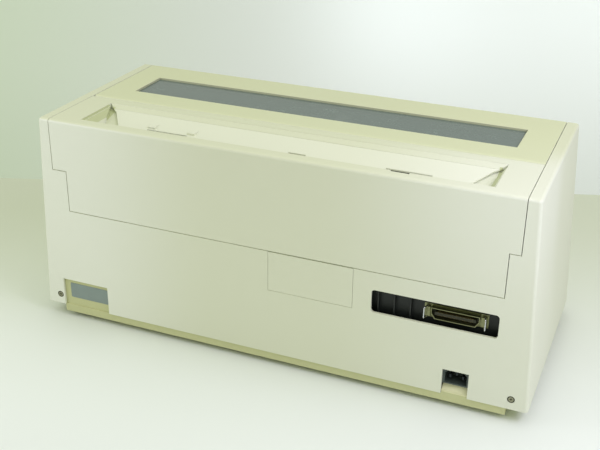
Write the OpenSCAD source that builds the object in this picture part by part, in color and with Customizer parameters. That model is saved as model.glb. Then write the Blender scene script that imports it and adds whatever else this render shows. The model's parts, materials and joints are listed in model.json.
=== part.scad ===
/* [Cabinet] */
// Width of the cabinet at its lower edge
base_w = 600; // [560:1:640]
// Space between the ribbon cartridge and the front, at the cabinet's lower edge
front_room = 28; // [26:1:34]
// Height of the housing above the base pan's strip
body_h = 243; // [238:1:260]
// How far each side leans in from the lower edge to the top
side_draft = 12; // [6:1:14]
// How far the front leans back from the lower edge to the top
front_slope = 24; // [16:1:28]
// Wall thickness of the moulded housing and covers
wall = 3; // [2.6:0.2:3.4]
// Radius of the rear and top edges
edge_r = 4; // [3:0.5:4.5]
// Gap at the seams between the covers and the housing
seam = 0.8; // [0.6:0.1:1.2]

/* [Base] */
// Height of the rubber feet
foot_h = 7; // [5:0.5:10]
// Radius of a rubber foot
foot_r = 11; // [8:0.5:14]
// Height of the base pan's strip below the housing
pan_h = 10; // [8:0.5:14]
// How far the strip stands in from each side of the housing
pan_inset = 24; // [22:1:26]
// Wall and floor thickness of the base pan
pan_t = 3; // [2.4:0.2:3.4]

/* [Covers] */
// Width of the strip left on the housing beside the covers
side_strip = 14; // [12:0.5:16]
// Depth of the rear cover's top, from the rear face to the step line
rear_top_d = 96; // [94:0.5:98]
// Height of the rear cover's shoulders above the housing's lower edge
shoulder_z = 181; // [176:1:186]
// Height of the rear cover's lower edge above the housing's lower edge
rear_low_z = 130.5; // [129:0.5:133]
// How far the rear cover's lower part stands in from each shoulder
shoulder_in = 15; // [12:0.5:20]
// Height of the top cover's front lip
lip_h = 45; // [40:1:50]
// Radius of the rolled edges that the covers turn on
roll_r = 4; // [3.5:0.1:4.2]
// Radius of the cover hinge pins
hinge_pin_r = 1.5; // [1.2:0.1:1.8]

/* [Paper pocket] */
// Width of the rear cover beside the pocket, at each end
pocket_side = 35; // [33:1:44]
// Distance from the rear face to the pocket's near edge
pocket_v0 = 14.6; // [14:0.2:17]
// Depth of the flat top between the pocket and the step line
pocket_land = 17.2; // [16:0.2:20]
// Depth of the wells at the pocket's near wall
pocket_deep = 23; // [21:1:26]
// Depth of the wells at the pocket's far wall
well_far = 7; // [6.5:0.5:9]
// How far the wells' end walls lean in at the near wall
well_lean = 22; // [14:1:26]
// Thickness of the sloped guide plate
guide_t = 1.8; // [1.4:0.1:2.2]

/* [Window] */
// Width of the top cover beside the window, at each end
window_side = 37; // [35:1:44]
// Distance from the step line to the window's near edge
window_in = 35.4; // [33:0.2:38]
// Depth of the window opening
window_d = 60.9; // [56:0.1:64]
// Depth of the window's surface below the cover's surface
window_sink = 2.5; // [2:0.1:3]
// Thickness of the window
window_t = 2.5; // [2:0.1:3]
// Width of the paper exit slit along the window's near edge
exit_slit = 6; // [5:0.5:7]

/* [Rear face] */
// Width of the interface slot
slot_w = 138; // [130:1:142]
// Height of the interface slot
slot_h = 27.6; // [26:0.2:30]
// Width of the blank option cover
option_w = 100; // [90:1:106]
// Height of the blank option cover
option_h = 49; // [44:1:50]
// Width of the mains inlet's notch
notch_w = 29; // [28:0.5:30]
// Height of the mains inlet's notch
notch_h = 31; // [29:0.5:32]
// Width of the rating plate's notch
plate_w = 63; // [56:1:66]
// Height of the rating plate's notch
plate_h = 36; // [32:1:38]

/* [Print mechanism] */
// Radius of the platen
platen_r = 19; // [18:0.5:20]
// Length of the platen's rubber
platen_len = 420; // [400:2:424]
// Radius of the platen's shaft
platen_shaft_r = 5; // [4:0.5:6]
// Radius of the carriage's guide shaft
guide_r = 6; // [5:0.5:6]
// Travel of the carriage
carriage_travel = 360; // [320:5:364]
// Gap between the print head's nose and the platen
head_gap = 0.6; // [0.4:0.1:0.8]
// Depth of the print head, from its nose to the ends of its fins
head_d = 37.4; // [34:0.2:41]
// Width of the print head
head_w = 32; // [28:1:34]
// Depth of the ribbon cartridge
cartridge_d = 26; // [22:1:30]
// Width of the ribbon cartridge
cartridge_w = 76; // [70:1:84]
// Radius of the belt pulleys
pulley_r = 7.9; // [7.5:0.1:8]
// Thickness of the toothed belt
belt_t = 1.5; // [1.2:0.1:1.6]
// Width of the toothed belt
belt_w = 6; // [5:0.5:6.5]
// Thickness of the steel side frames
frame_t = 2; // [1.6:0.2:2.4]

/* [Paper feed] */
// Gear module
gear_m = 1; // [0.98:0.01:1]
// Teeth on the platen gear
platen_teeth = 47; // [46:1:47]
// Teeth on the idler gear
idler_teeth = 40; // [39:1:40]
// Teeth on the tractor gear
tractor_teeth = 60; // [58:1:60]
// Teeth on the motor pinion
pinion_teeth = 18; // [17:1:19]
// Width of the gear teeth
gear_w = 8; // [6:0.5:9]
// Pins on a tractor wheel, 12.7 mm apart along the paper
wheel_pins = 12; // [12:1:12]
// Side of the square tractor shaft
square_shaft = 8; // [7:0.5:8.5]
// Radius of the tractor's support shaft
support_r = 4; // [3.5:0.5:4.5]

/* [Hidden] */
$fn = 48;

// Clearances
fit = 0.05;        // radial clearance of a shaft that turns or slides in a hole
seat = 0.02;       // radial clearance of a piece pressed into a hole
gap = 0.3;         // clearance between pieces that move past each other
eps = 0.5;         // overshoot of a cut past a face

// Main places
platen_v = 150;
nose_v = platen_v + platen_r + head_gap;
head_v = nose_v + head_d;
cartridge_v0 = head_v + 3;
cartridge_v1 = cartridge_v0 + cartridge_d;
base_d = cartridge_v1 + front_room;
rear_y = base_d / 2;
base_z = foot_h + pan_h;
top_z = base_z + body_h;
half_top = base_w / 2 - side_draft;
cover_half = half_top - side_strip;
rear_low_w = 2 * (cover_half - shoulder_in);
rear_low_x = -3.3;
pocket_w = 2 * (cover_half - pocket_side);
pocket_v1 = rear_top_d - pocket_land;
window_w = 2 * (cover_half - window_side);
window_v0 = rear_top_d + window_in;
window_v1 = window_v0 + window_d;
lean = atan(front_slope / body_h);

// A place given as a distance in from the rear face and a height above the housing's lower edge
function yz(v, z) = [rear_y - v, base_z + z];
function half_w(z) = base_w / 2 - side_draft * z / body_h;
function polar(r, a) = [r * cos(a), r * sin(a)];

// Covers
rear_axis = yz(rear_top_d - seam / 2 - roll_r, body_h - roll_r);
top_axis = yz(rear_top_d + seam / 2 + roll_r, body_h - roll_r);
pin_len = 13;
pin_in = 7;

// Mechanism
frame_in = 42;
frame_x = base_w / 2 - frame_in;
platen_z = body_h - 68;
platen_at = yz(platen_v, platen_z);
tooth_add = gear_m;
tooth_ded = 1.25 * gear_m;
mesh_play = 0.15;
function centre(n1, n2) = gear_m * (n1 + n2) / 2 + mesh_play;
train_a = atan2(-25, 90);
idler_at = platen_at + polar(centre(platen_teeth, idler_teeth), train_a);
tractor_at = idler_at + polar(centre(idler_teeth, tractor_teeth), train_a);
pinion_a = 90;
pinion_at = idler_at + polar(centre(idler_teeth, pinion_teeth), pinion_a);
gear_x = frame_x + frame_t + 6;
wheel_pitch_r = 12.7 * wheel_pins / (2 * PI);
wheel_r = wheel_pitch_r - 0.6;
pin_out = 2.4;
support_at = tractor_at + [-33.4, -15];
tractor_x = 190;
tractor_half = 9;
wheel_half = 4;
guide_v = head_v - 9;
guide_z0 = platen_z - 35;
guide_at = yz(guide_v, guide_z0);
pulley_x = frame_x - 21;
belt_v = guide_v + 13;
pulley_z = platen_z - 63;
motor_side = 42;
motor_deep = 34;
motor_v = belt_v - 7;
shaft_r = 2.5;
shaft_in = 20;
bail_gap = platen_r + 5 + gap;
bail_at = platen_at + [-bail_gap * cos(60), bail_gap * sin(60)];
bail_pivot = yz(platen_v + 40, platen_z + 11);
bail_bar_r = 3;
bail_roller_r = 5;
bail_pin_r = 3;
bush_r = 9;
post_r = 3;
lever_r = 4;
collar_r = 10.5;
lever_at = yz(platen_v - 28, platen_z + 13);
lever_long = 30;
home_x = -carriage_travel / 2;

// Rear face
slot_x = 109 - base_w / 2;
slot_z = 95.5;
option_x = slot_x + 140;
notch_x = slot_x - 29;
plate_x = base_w / 2 - 56.5;
screw_x = base_w / 2 - 19;
screw_z = 12.5;
socket_x = slot_x - 22;
socket_z = slot_z - 2;
plate_v = 12;
bail_dx = 30;

// Extrudes a profile drawn in Y and Z from x0 to x1
module along_x(x0, x1) {
  translate([x0, 0, 0]) rotate([90, 0, 90]) linear_extrude(x1 - x0) children();
}

module rod(x0, x1, at, r) {
  along_x(x0, x1) translate(at) circle(r);
}

// A box between two depths from the rear face and two heights
module slab(x0, x1, v0, v1, z0, z1) {
  translate([x0, rear_y - v1, base_z + z0]) cube([x1 - x0, v1 - v0, z1 - z0]);
}

// A cylinder that runs in from the rear face
module bore_in(x, v0, v1, z, r) {
  translate([x, rear_y - v0, base_z + z]) rotate([90, 0, 0]) cylinder(r = r, h = v1 - v0);
}

module mirror_pair() {
  children();
  mirror([1, 0, 0]) children();
}

// Places children on the sloping front face: y runs inwards and z up the slope
module on_front() {
  translate([0, -rear_y, base_z]) rotate([-lean, 0, 0]) children();
}

module round_rect(w, h, r) {
  square([w - 2 * r, h], center = true);
  square([w, h - 2 * r], center = true);
  for (sx = [-1, 1], sy = [-1, 1]) translate([sx * (w / 2 - r), sy * (h / 2 - r)]) circle(r);
}

// The cabinet's outer form, wider and deeper at its lower edge
module outer_form() {
  low_x = base_w / 2 - edge_r;
  top_x = half_top - edge_r;
  hull() {
    for (sx = [-1, 1], sy = [-1, 1]) translate([sx * low_x, sy * (rear_y - edge_r), base_z])
      cylinder(r = edge_r, h = 0.1, $fn = 32);
    for (sx = [-1, 1], y = [rear_y - edge_r, front_slope + edge_r - rear_y])
      translate([sx * top_x, y, top_z - edge_r]) sphere(r = edge_r, $fn = 32);
  }
}

module inner_form() {
  low_x = base_w / 2 - wall;
  top_x = half_top - wall;
  hull() {
    translate([-low_x, wall - rear_y, base_z - eps]) cube([2 * low_x, base_d - 2 * wall, 0.1]);
    translate([-top_x, front_slope + wall - rear_y, top_z - wall - 0.1])
      cube([2 * top_x, base_d - front_slope - 2 * wall, 0.1]);
  }
}

module shell() {
  difference() {
    outer_form();
    inner_form();
  }
}

// The space of the rear cover, grown by g on every seam
module rear_zone(g) {
  slab(-cover_half - g, cover_half + g, -1, rear_top_d + g, shoulder_z - g, body_h + 1);
  slab(rear_low_x - rear_low_w / 2 - g, rear_low_x + rear_low_w / 2 + g, -1, wall + 8, rear_low_z - g,
    shoulder_z + 2);
}

// The space of the top cover, grown by g on every seam
module top_zone(g) {
  slab(-cover_half - g, cover_half + g, rear_top_d - g, base_d + 1, body_h - lip_h - g, body_h + 1);
}

module boss_holes() {
  mirror_pair() for (at = [rear_axis, top_axis])
    rod(cover_half - eps, cover_half + pin_in, at, hinge_pin_r + seat);
}

module hinge_bosses() {
  difference() {
    mirror_pair() for (at = [rear_axis, top_axis])
      rod(cover_half + seam / 2, half_top - wall + 0.6, at, roll_r - 0.6);
    boss_holes();
  }
}

// A dish that the platen knob turns in, on the right-hand side
dish_r = 20;
dish_deep = 6;
rim_t = 2.4;
dish_floor = half_w(platen_z) - dish_deep;

module housing() {
  color("#cfd0bb") {
    difference() {
      union() {
        shell();
        rod(dish_floor - rim_t, half_w(platen_z) - wall + 0.8, platen_at, dish_r + rim_t);
      }
      rear_zone(seam / 2);
      top_zone(seam / 2);
      rod(dish_floor, base_w / 2 + 1, platen_at, dish_r);
      rod(dish_floor - 4, base_w / 2 + 1, platen_at, platen_shaft_r + 1.5);
      translate([slot_x, rear_y + eps, base_z + slot_z]) rotate([90, 0, 0])
        linear_extrude(wall + 2 * eps) round_rect(slot_w, slot_h, 4);
      slab(option_x - option_w / 2, option_x + option_w / 2, -1, wall + 1, rear_low_z - option_h, rear_low_z);
      slab(notch_x - notch_w / 2, notch_x + notch_w / 2, -1, wall + 1, -1, notch_h);
      slab(plate_x - plate_w / 2, plate_x + plate_w / 2, -1, wall + 1, -1, plate_h);
      for (s = [-1, 1]) {
        bore_in(s * screw_x, -1, 1.6, screw_z, 4.2);
        bore_in(s * screw_x, -1, wall + 1, screw_z, 1.8);
      }
      on_front() translate([panel_x - panel_w / 2, -1, panel_z - panel_h / 2])
        cube([panel_w, wall + 3, panel_h]);
      boss_holes();
    }
    hinge_bosses();
    // Ledge that the rear cover's lower edge closes against
    for (x = [[rear_low_x - rear_low_w / 2, option_x - option_w / 2 - 1], [option_x + option_w / 2 + 1,
      rear_low_x + rear_low_w / 2]]) {
      slab(x[0], x[1], wall - 0.1, wall + 2, rear_low_z - 6, rear_low_z - seam);
      slab(x[0], x[1], wall + gap, wall + 2, rear_low_z - 6, rear_low_z + 3);
    }
  }
}

tray_half = base_w / 2 - pan_inset;
flange_half = base_w / 2 - wall - 1.5;
tray_v0 = 2;
tray_v1 = base_d - 8;
flange_v0 = wall + gap;
flange_v1 = base_d - wall - 2;
ledge_z = notch_h - 19.4;
board_v = [70, 135, 200];
board_x = 140;
board_z = 1;
board_t = 1.6;
board_top = board_z + board_t;
coil_w = 68;
coil_x = frame_x - 22 - coil_w;

module base_pan() {
  color("#c8c496") {
    difference() {
      union() {
        slab(-tray_half, tray_half, tray_v0, tray_v1, -pan_h, 0);
        slab(-flange_half, flange_half, flange_v0, flange_v1, 0, pan_t);
      }
      slab(-tray_half + pan_t, tray_half - pan_t, tray_v0 + pan_t, tray_v1 - pan_t, pan_t - pan_h, pan_t + 1);
      // Air slots under the transformer and under the main board
      for (i = [0 : 7]) slab(coil_x + 10 * i - 8, coil_x + 10 * i - 4, 110, 170, -pan_h - 1, pan_t);
      for (i = [0 : 11]) slab(-62 + 10 * i, -58 + 10 * i, 90, 180, -pan_h - 1, pan_t);
    }
    // Raised wall that carries the rating plate
    slab(plate_x - plate_w / 2 - 4, plate_x + plate_w / 2 + 4, flange_v0, flange_v0 + pan_t, pan_t,
      plate_h + 4);
    // Sloped ledge under the mains inlet
    along_x(notch_x - notch_w / 2 + gap, notch_x + notch_w / 2 - gap) polygon([
      yz(tray_v0, 0), yz(tray_v0, 0.8), yz(10, ledge_z), yz(26, ledge_z), yz(26, pan_t - pan_h),
      yz(tray_v0 + pan_t, pan_t - pan_h), yz(tray_v0 + pan_t, 0)]);
    // Posts that the housing is screwed to
    for (s = [-1, 1]) difference() {
      slab(s * screw_x - 7, s * screw_x + 7, flange_v0, flange_v0 + 12, pan_t, screw_z + 7);
      bore_in(s * screw_x, flange_v0 - 1, flange_v0 + 10, screw_z, 1.6);
    }
    // Standoffs under the main board
    for (x = [-board_x, board_x], v = board_v) translate([x, rear_y - v, base_z + pan_t - pan_h])
      cylinder(r = 3.5, h = board_z - pan_t + pan_h);
  }
}

module rubber_feet() {
  color("#2b2b2b") for (sx = [-1, 1], sy = [-1, 1])
    translate([sx * (tray_half - 34), sy * (rear_y - 34), 0]) {
    cylinder(r1 = foot_r - 1.5, r2 = foot_r, h = foot_h);
  }
}

module housing_screws() {
  color("#8d8b80") for (s = [-1, 1]) difference() {
    union() {
      bore_in(s * screw_x, 0.1, 1.6, screw_z, 3.9);
      bore_in(s * screw_x, 1.6, flange_v0 + 9, screw_z, 1.58);
    }
    for (a = [0, 90]) translate([s * screw_x, rear_y, base_z + screw_z]) rotate([0, a, 0])
      cube([4.4, 2, 0.9], center = true);
  }
}

module hinge_pins() {
  color("#b0b2b4") mirror_pair() for (at = [rear_axis, top_axis])
    rod(cover_half + pin_in - pin_len, cover_half + pin_in, at, hinge_pin_r);
}

// Holes at the ends of a rolled edge, for the hinge pins
module edge_holes(at) {
  mirror_pair() rod(cover_half + pin_in - pin_len - 1, cover_half + 1, at, hinge_pin_r + fit);
}

module rolled_edge(at) {
  half = cover_half - seam / 2;
  difference() {
    rod(-half, half, at, roll_r);
    edge_holes(at);
  }
}

// Half width of the guide plate at a distance from the rear face
guide_edge = [[pocket_v1, pocket_w / 2 - 0.4], [pocket_v1 - 10, pocket_w / 2 - 13],
  [pocket_v1 - 40, pocket_w / 2 - 34], [pocket_v0 + 4, pocket_w / 2 - 47]];
guide_slope = 0.26;
// The cover's sloped lip along the pocket's far edge; the guide plate starts a small step below it
lip_v = pocket_v1 - 5.5;
lip_drop = 4.6;
lip_step = 0.3;
throat = 6;
throat_half = guide_edge[3][1] - 1;
chute_z = body_h - pocket_deep - 12;

function guide_z(v) = body_h - lip_drop - lip_step - guide_slope * (lip_v - v);
function well_z(v) = body_h - pocket_deep
  + (pocket_deep - well_far) * (v - pocket_v0) / (pocket_v1 - pocket_v0);

// The guide plate's outline seen from above
module guide_outline() {
  translate([0, 0, base_z]) linear_extrude(body_h + 1) polygon(concat(
    [for (e = guide_edge) [e[1], rear_y - e[0]]],
    [for (i = [3 : -1 : 0]) [-guide_edge[i][1], rear_y - guide_edge[i][0]]]));
}

// Leaning end wall of a well: upright at the far wall, leaning in towards the near one
module leaning_wall(half) {
  hull() {
    translate([0, rear_y - pocket_v0, base_z]) rotate([90, 0, 0]) linear_extrude(0.1)
      polygon([[half + 0.1, body_h - 0.5], [half + 0.1, body_h - pocket_deep - 0.1],
        [half - well_lean, body_h - pocket_deep - 0.1]]);
    slab(half, half + 0.1, pocket_v1 - 0.1, pocket_v1, body_h - well_far - 0.1, body_h - 0.5);
  }
}

module rear_cover() {
  half = pocket_w / 2;
  well_in = throat_half;
  color("#d2d3be") {
    difference() {
      intersection() {
        shell();
        difference() {
          rear_zone(-seam / 2);
          // Room for the rolled edge
          slab(-cover_half, cover_half, rear_top_d - seam / 2 - roll_r, rear_top_d + 1, body_h - 10,
            body_h + 2);
        }
      }
      slab(-half, half, pocket_v0, pocket_v1, body_h - wall - 1, body_h + 1);
      // Shallow recess in the near rim
      slab(rim_cut[0], rim_cut[1], pocket_v0 - 5, pocket_v0 + 1, body_h - 1.2, body_h + 1);
      edge_holes(rear_axis);
    }
    rolled_edge(rear_axis);
    // Pocket walls and the sloped floors of its end wells
    difference() {
      along_x(-half - rim_t, half + rim_t) polygon([
        yz(pocket_v0 - rim_t, body_h - wall + 0.1), yz(pocket_v0 - rim_t, body_h - pocket_deep - rim_t),
        yz(pocket_v1 + rim_t, body_h - well_far - rim_t), yz(pocket_v1 + rim_t, body_h - wall + 0.1)]);
      difference() {
        along_x(-half, half) polygon([
          yz(pocket_v0, body_h + 1), yz(pocket_v0, body_h - pocket_deep),
          yz(pocket_v1, body_h - well_far), yz(pocket_v1, body_h + 1)]);
        mirror_pair() leaning_wall(half);
      }
      slab(-well_in, well_in, pocket_v0, pocket_v1 + 3, body_h - pocket_deep - 3, body_h - wall - 2);
    }
    intersection() {
      along_x(-half, half) polygon([
        yz(pocket_v1 + 0.1, body_h - 0.3), yz(lip_v, body_h - lip_drop), yz(lip_v, guide_z(lip_v) - guide_t),
        yz(pocket_v1 + 0.1, body_h - wall - 0.6)]);
      guide_outline();
    }
    // Chute wall below the pocket's near wall
    along_x(-well_in, well_in) polygon([
      yz(pocket_v0, body_h - pocket_deep), yz(pocket_v0 - rim_t, body_h - pocket_deep),
      yz(pocket_v0 + 8, chute_z), yz(pocket_v0 + 10.4, chute_z)]);
  }
}

// Slots in the guide plate's near part, seen as dark lines over the pocket's near rim
cut_v = [38, 46];
left_cut = [119.4, 170.7];
right_cut = [-167.7, -116.9];
finger_cut = [-26.1, -5.3];
rim_cut = [-152, -131.7];
ramp_w = 9;

module guide_plate() {
  v0 = pocket_v0 + throat;
  color("#dfe0c8") difference() {
    union() {
      intersection() {
        along_x(-pocket_w / 2, pocket_w / 2) polygon([
          yz(lip_v, guide_z(lip_v)), yz(v0 + 3, guide_z(v0 + 3)), yz(v0, guide_z(v0) - 3),
          yz(v0 + 1, body_h - pocket_deep - 2), yz(v0 + 11, chute_z),
          yz(v0 + 11 + guide_t, chute_z), yz(v0 + 1 + guide_t, body_h - pocket_deep - 2),
          yz(v0 + guide_t, guide_z(v0) - 4), yz(v0 + 3 + guide_t, guide_z(v0 + 3) - guide_t),
          yz(lip_v, guide_z(lip_v) - guide_t)]);
        guide_outline();
      }
      // Ramps at both ends of the left slot
      for (x = [left_cut[0] - ramp_w, left_cut[1] - ramp_w]) along_x(x, x + ramp_w) polygon([
        yz(cut_v[1] + 14, guide_z(cut_v[1] + 14) - 0.5), yz(cut_v[1] + 1, guide_z(cut_v[1] + 1) + 2.4),
        yz(cut_v[1] + 1, guide_z(cut_v[1] + 1) - 0.5)]);
    }
    for (cut = [left_cut, right_cut, finger_cut])
      slab(cut[0], cut[1], cut_v[0], cut_v[1], body_h - 20, body_h);
    // The leg goes down between the floors of the end wells
    mirror_pair() along_x(throat_half - gap, pocket_w / 2) polygon([
      yz(v0 - 1, well_z(v0 - 1) + gap), yz(v0 + 14, well_z(v0 + 14) + gap),
      yz(v0 + 14, chute_z - 1), yz(v0 - 1, chute_z - 1)]);
  }
}

grip_r = 14;

module top_cover() {
  half = window_w / 2;
  sill = body_h - window_sink - window_t;
  color("#d4d5ba") {
    difference() {
      union() {
        intersection() {
          shell();
          difference() {
            top_zone(-seam / 2);
            slab(-cover_half, cover_half, rear_top_d - 1, rear_top_d + seam / 2 + roll_r, body_h - 10,
              body_h + 2);
          }
        }
        // Frame round the window opening
        slab(-half - 5, half + 5, window_v0 - 3, window_v1 + 5, sill - 2.4, body_h - wall + 0.1);
      }
      slab(-half, half, window_v0, window_v1, sill, body_h + 1);
      slab(-half + 5, half - 5, window_v0, window_v1 - 5, sill - 4, body_h + 1);
      // Finger grip in the front lip
      on_front() translate([0, 0, body_h - lip_h]) rotate([-90, 0, 0])
        cylinder(r = grip_r, h = 2 * wall + 6, center = true);
      edge_holes(top_axis);
    }
    rolled_edge(top_axis);
  }
}

module window() {
  half = window_w / 2 - gap;
  sill = body_h - window_sink - window_t;
  color("#5f6664", 0.6) slab(-half, half, window_v0 + exit_slit, window_v1 - gap, sill, sill + window_t);
}

module option_cover() {
  w = option_w - 0.8;
  z0 = rear_low_z - option_h + 0.4;
  z1 = rear_low_z - 0.9;
  color("#cfd0bb") {
    slab(option_x - w / 2, option_x + w / 2, 0, 2.5, z0, z1);
    // Hooked feet and the spring catch behind the wall
    for (s = [-1, 1]) slab(option_x + s * 34 - 6, option_x + s * 34 + 6, 2.5, 5.5, z0 + 0.1, z0 + 2.3);
    slab(option_x - 8, option_x + 8, 2.5, 6, z1 - 2.4, z1 - 0.4);
  }
}

module interface_plate() {
  x0 = slot_x - slot_w / 2 - 4;
  x1 = slot_x + slot_w / 2 + 4;
  floor_z = pan_t - pan_h;
  rib_x = slot_x + slot_w / 2 - 6;
  foot_in = notch_w / 2 + 8;
  color("#2a2c2b") {
    difference() {
      slab(x0, x1, plate_v, plate_v + 1.2, floor_z, slot_z + slot_h / 2 + 6);
      slab(notch_x - foot_in, notch_x + foot_in, plate_v - 1, plate_v + 2, floor_z - 1,
        slot_z - slot_h / 2 - 6);
      slab(socket_x - 26, socket_x + 26, plate_v - 1, plate_v + 2, socket_z - 6, socket_z + 6);
    }
    slab(x0, notch_x - foot_in, plate_v + 1.2, plate_v + 11, floor_z, floor_z + 1.2);
    slab(notch_x + foot_in, x1, plate_v + 1.2, plate_v + 11, floor_z, floor_z + 1.2);
    // Stiffening ribs seen through the slot
    for (i = [0 : 2]) slab(rib_x - 18 * i - 0.8, rib_x - 18 * i + 0.8, plate_v - 5, plate_v,
      slot_z - slot_h / 2 - 4, slot_z + slot_h / 2 + 4);
  }
}

// Outline of the socket's shell, narrower at the foot
module socket_outline(w, h) {
  polygon([[-w / 2, h / 2], [w / 2, h / 2], [w / 2, 0], [w / 2 - 4, -h / 2], [4 - w / 2, -h / 2],
    [-w / 2, 0]]);
}

module on_socket(v) {
  translate([socket_x, rear_y - v, base_z + socket_z]) rotate([90, 0, 0]) children();
}

socket_w = 52;
socket_h = 13;
ear_h = 11;
wire_r = 0.7;
bail_out = 3.2;

module socket_shell() {
  color("#8f8b74") difference() {
    union() {
      on_socket(plate_v - 1.4) linear_extrude(1.4) square([2 * bail_dx + 9, 16], center = true);
      on_socket(plate_v - 7.4) linear_extrude(6.2) socket_outline(socket_w, socket_h);
      for (s = [-1, 1]) on_socket(plate_v - 5) linear_extrude(3.8) translate([s * bail_dx, 0])
        square([5, ear_h], center = true);
    }
    on_socket(plate_v - 8) linear_extrude(9) socket_outline(socket_w - 1.6, socket_h - 1.6);
    for (s = [-1, 1]) translate([socket_x + s * bail_dx, rear_y - plate_v + bail_out, base_z + socket_z])
      cylinder(r = wire_r + fit, h = 20, center = true, $fn = 24);
  }
}

module socket_insert() {
  color("#3c3322") {
    on_socket(plate_v - 1.5) linear_extrude(2.4) socket_outline(socket_w - 1.8, socket_h - 1.8);
    on_socket(plate_v - 6.4) linear_extrude(5.2) square([socket_w - 8, 3.4], center = true);
    on_socket(plate_v + 0.9) linear_extrude(14) square([socket_w - 2, 10], center = true);
  }
}

// A wire bail that turns on upright pivots in the socket's ears
module socket_bail(s) {
  leg = 8;
  reach = ear_h / 2 + 1.1;
  hook = 3;
  color("#c9ccd0") translate([socket_x + s * bail_dx, rear_y - plate_v + bail_out, base_z + socket_z])
    rotate([0, 0, -s * 20]) {
      for (u = [-1, 1]) {
        translate([0, 0, u > 0 ? reach - hook : -reach - wire_r])
          cylinder(r = wire_r, h = hook + wire_r, $fn = 24);
        translate([0, 0, u * reach]) rotate([-90, 0, 0]) cylinder(r = wire_r, h = leg, $fn = 24);
      }
      translate([0, leg, -reach - wire_r]) cylinder(r = wire_r, h = 2 * (reach + wire_r), $fn = 24);
    }
}

inlet_z = ledge_z + 9.6;
inlet_v = wall + 0.5;

module ac_inlet() {
  color("#1d1f1f") difference() {
    union() {
      slab(notch_x - 15.5, notch_x + 15.5, inlet_v, inlet_v + 2, ledge_z, ledge_z + 20.5);
      slab(notch_x - 13.5, notch_x + 13.5, inlet_v + 2, inlet_v + 22, ledge_z, ledge_z + 19);
    }
    // Socket mouth with its two cut corners
    translate([notch_x, rear_y - inlet_v + 1, base_z + inlet_z]) rotate([90, 0, 0]) linear_extrude(19)
      polygon([[-12, -8], [12, -8], [12, 4], [8, 8], [-8, 8], [-12, 4]]);
  }
}

module inlet_pins() {
  color("#b7b9b6") for (p = [[-7, -2], [0, 2], [7, -2]]) {
    x = notch_x + p[0];
    z = inlet_z + p[1];
    slab(x - 1, x + 1, inlet_v + 5, inlet_v + 18, z - 2, z + 2);
    slab(x - 1.5, x + 1.5, inlet_v + 22, inlet_v + 27, z - 2, z + 2);
  }
}

// Side frames
frame_rear = 24;
frame_front = guide_v + 34;
foot_w = 12;
hole_r = 22;

module frame_profile() {
  floor_z = pan_t - pan_h;
  step_v = platen_v - 64;
  top_z = platen_z + 41;
  polygon([yz(frame_rear, floor_z), yz(frame_rear, platen_z - 25), yz(platen_v - 106, platen_z + 1),
    yz(step_v, platen_z + 15), yz(step_v, top_z), yz(platen_v - 18, top_z), yz(platen_v - 14, top_z - 12),
    yz(guide_v + 6, top_z - 12), yz(frame_front, platen_z - 25), yz(frame_front, floor_z)]);
}

module side_frame(right) {
  x = frame_x;
  floor_z = pan_t - pan_h;
  color("#a9adb0") mirror([right ? 0 : 1, 0, 0]) {
    difference() {
      along_x(x, x + frame_t) difference() {
        frame_profile();
        translate(platen_at) circle(bush_r);
        translate(guide_at) circle(guide_r);
        translate(support_at) circle(support_r);
        translate(tractor_at) circle(square_shaft / 2 + fit);
        if (right) translate(pinion_at) circle(collar_r + 0.5);
        if (right) translate(idler_at) circle(post_r);
        if (!right) translate(lever_at) circle(lever_r + fit);
        for (v = [-80, -22, 36]) translate(yz(platen_v + v, 60)) circle(hole_r);
      }
    }
    // Foot flange, folded inwards
    slab(x - foot_w, x, frame_rear, frame_front, floor_z, floor_z + frame_t);
    // Pivot of the paper bail
    rod(x - 8, x, bail_pivot, bail_pin_r);
  }
}

tie_t = 1.6;
rail_v = guide_v + 18;
rail_z = platen_z - 53;
rail_t = 2;

module rear_tie() {
  color("#a9adb0") {
    v0 = frame_rear + 6;
    slab(-frame_x, frame_x, v0, v0 + tie_t, 36, 70);
    slab(-frame_x, frame_x, v0 + tie_t, v0 + 12, 36, 36 + tie_t);
  }
}

module front_rail() {
  color("#a9adb0") {
    slab(-frame_x, frame_x, rail_v, rail_v + 14, rail_z - rail_t, rail_z);
    slab(-frame_x, frame_x, rail_v + 14 - rail_t, rail_v + 14, rail_z - 26, rail_z - rail_t);
  }
}

module guide_shafts() {
  color("#c4c8cb") {
    rod(-frame_x - frame_t - 3, frame_x + frame_t + 3, guide_at, guide_r - seat);
    rod(-frame_x - frame_t - 3, frame_x + frame_t + 3, support_at, support_r - seat);
  }
}

module platen_bushes() {
  color("#e6e2d2") mirror_pair() difference() {
    union() {
      rod(frame_x - 3, frame_x + frame_t + 1, platen_at, bush_r - seat);
      rod(frame_x - 4, frame_x - seat, platen_at, bush_r + 3);
    }
    rod(frame_x - 5, frame_x + frame_t + 2, platen_at, platen_shaft_r + fit);
  }
}

// The paper's path: down behind the tractors, then forward and up under the platen
pan_c1 = yz(platen_v - 90, platen_z - 55);
pan_r1 = 30;
sheet_t = 1.4;
pan_r2 = platen_r + 2;
pan_reach = platen_at - pan_c1;
pan_normal = atan2(pan_reach[1], pan_reach[0]) + acos((pan_r1 - pan_r2) / norm(pan_reach));
pan_half = platen_len / 2 + 2;

function arc(c, r, a0, a1, n) = [for (i = [0 : n]) c + polar(r, a0 + (a1 - a0) * i / n)];
function pan_line(o) = concat([pan_c1 + [pan_r1 + 5 + o, 8]], arc(pan_c1, pan_r1 + o, 0,
  pan_normal - 360, 12),
  arc(platen_at, pan_r2 + o, pan_normal - 360, -155, 4));

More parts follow.
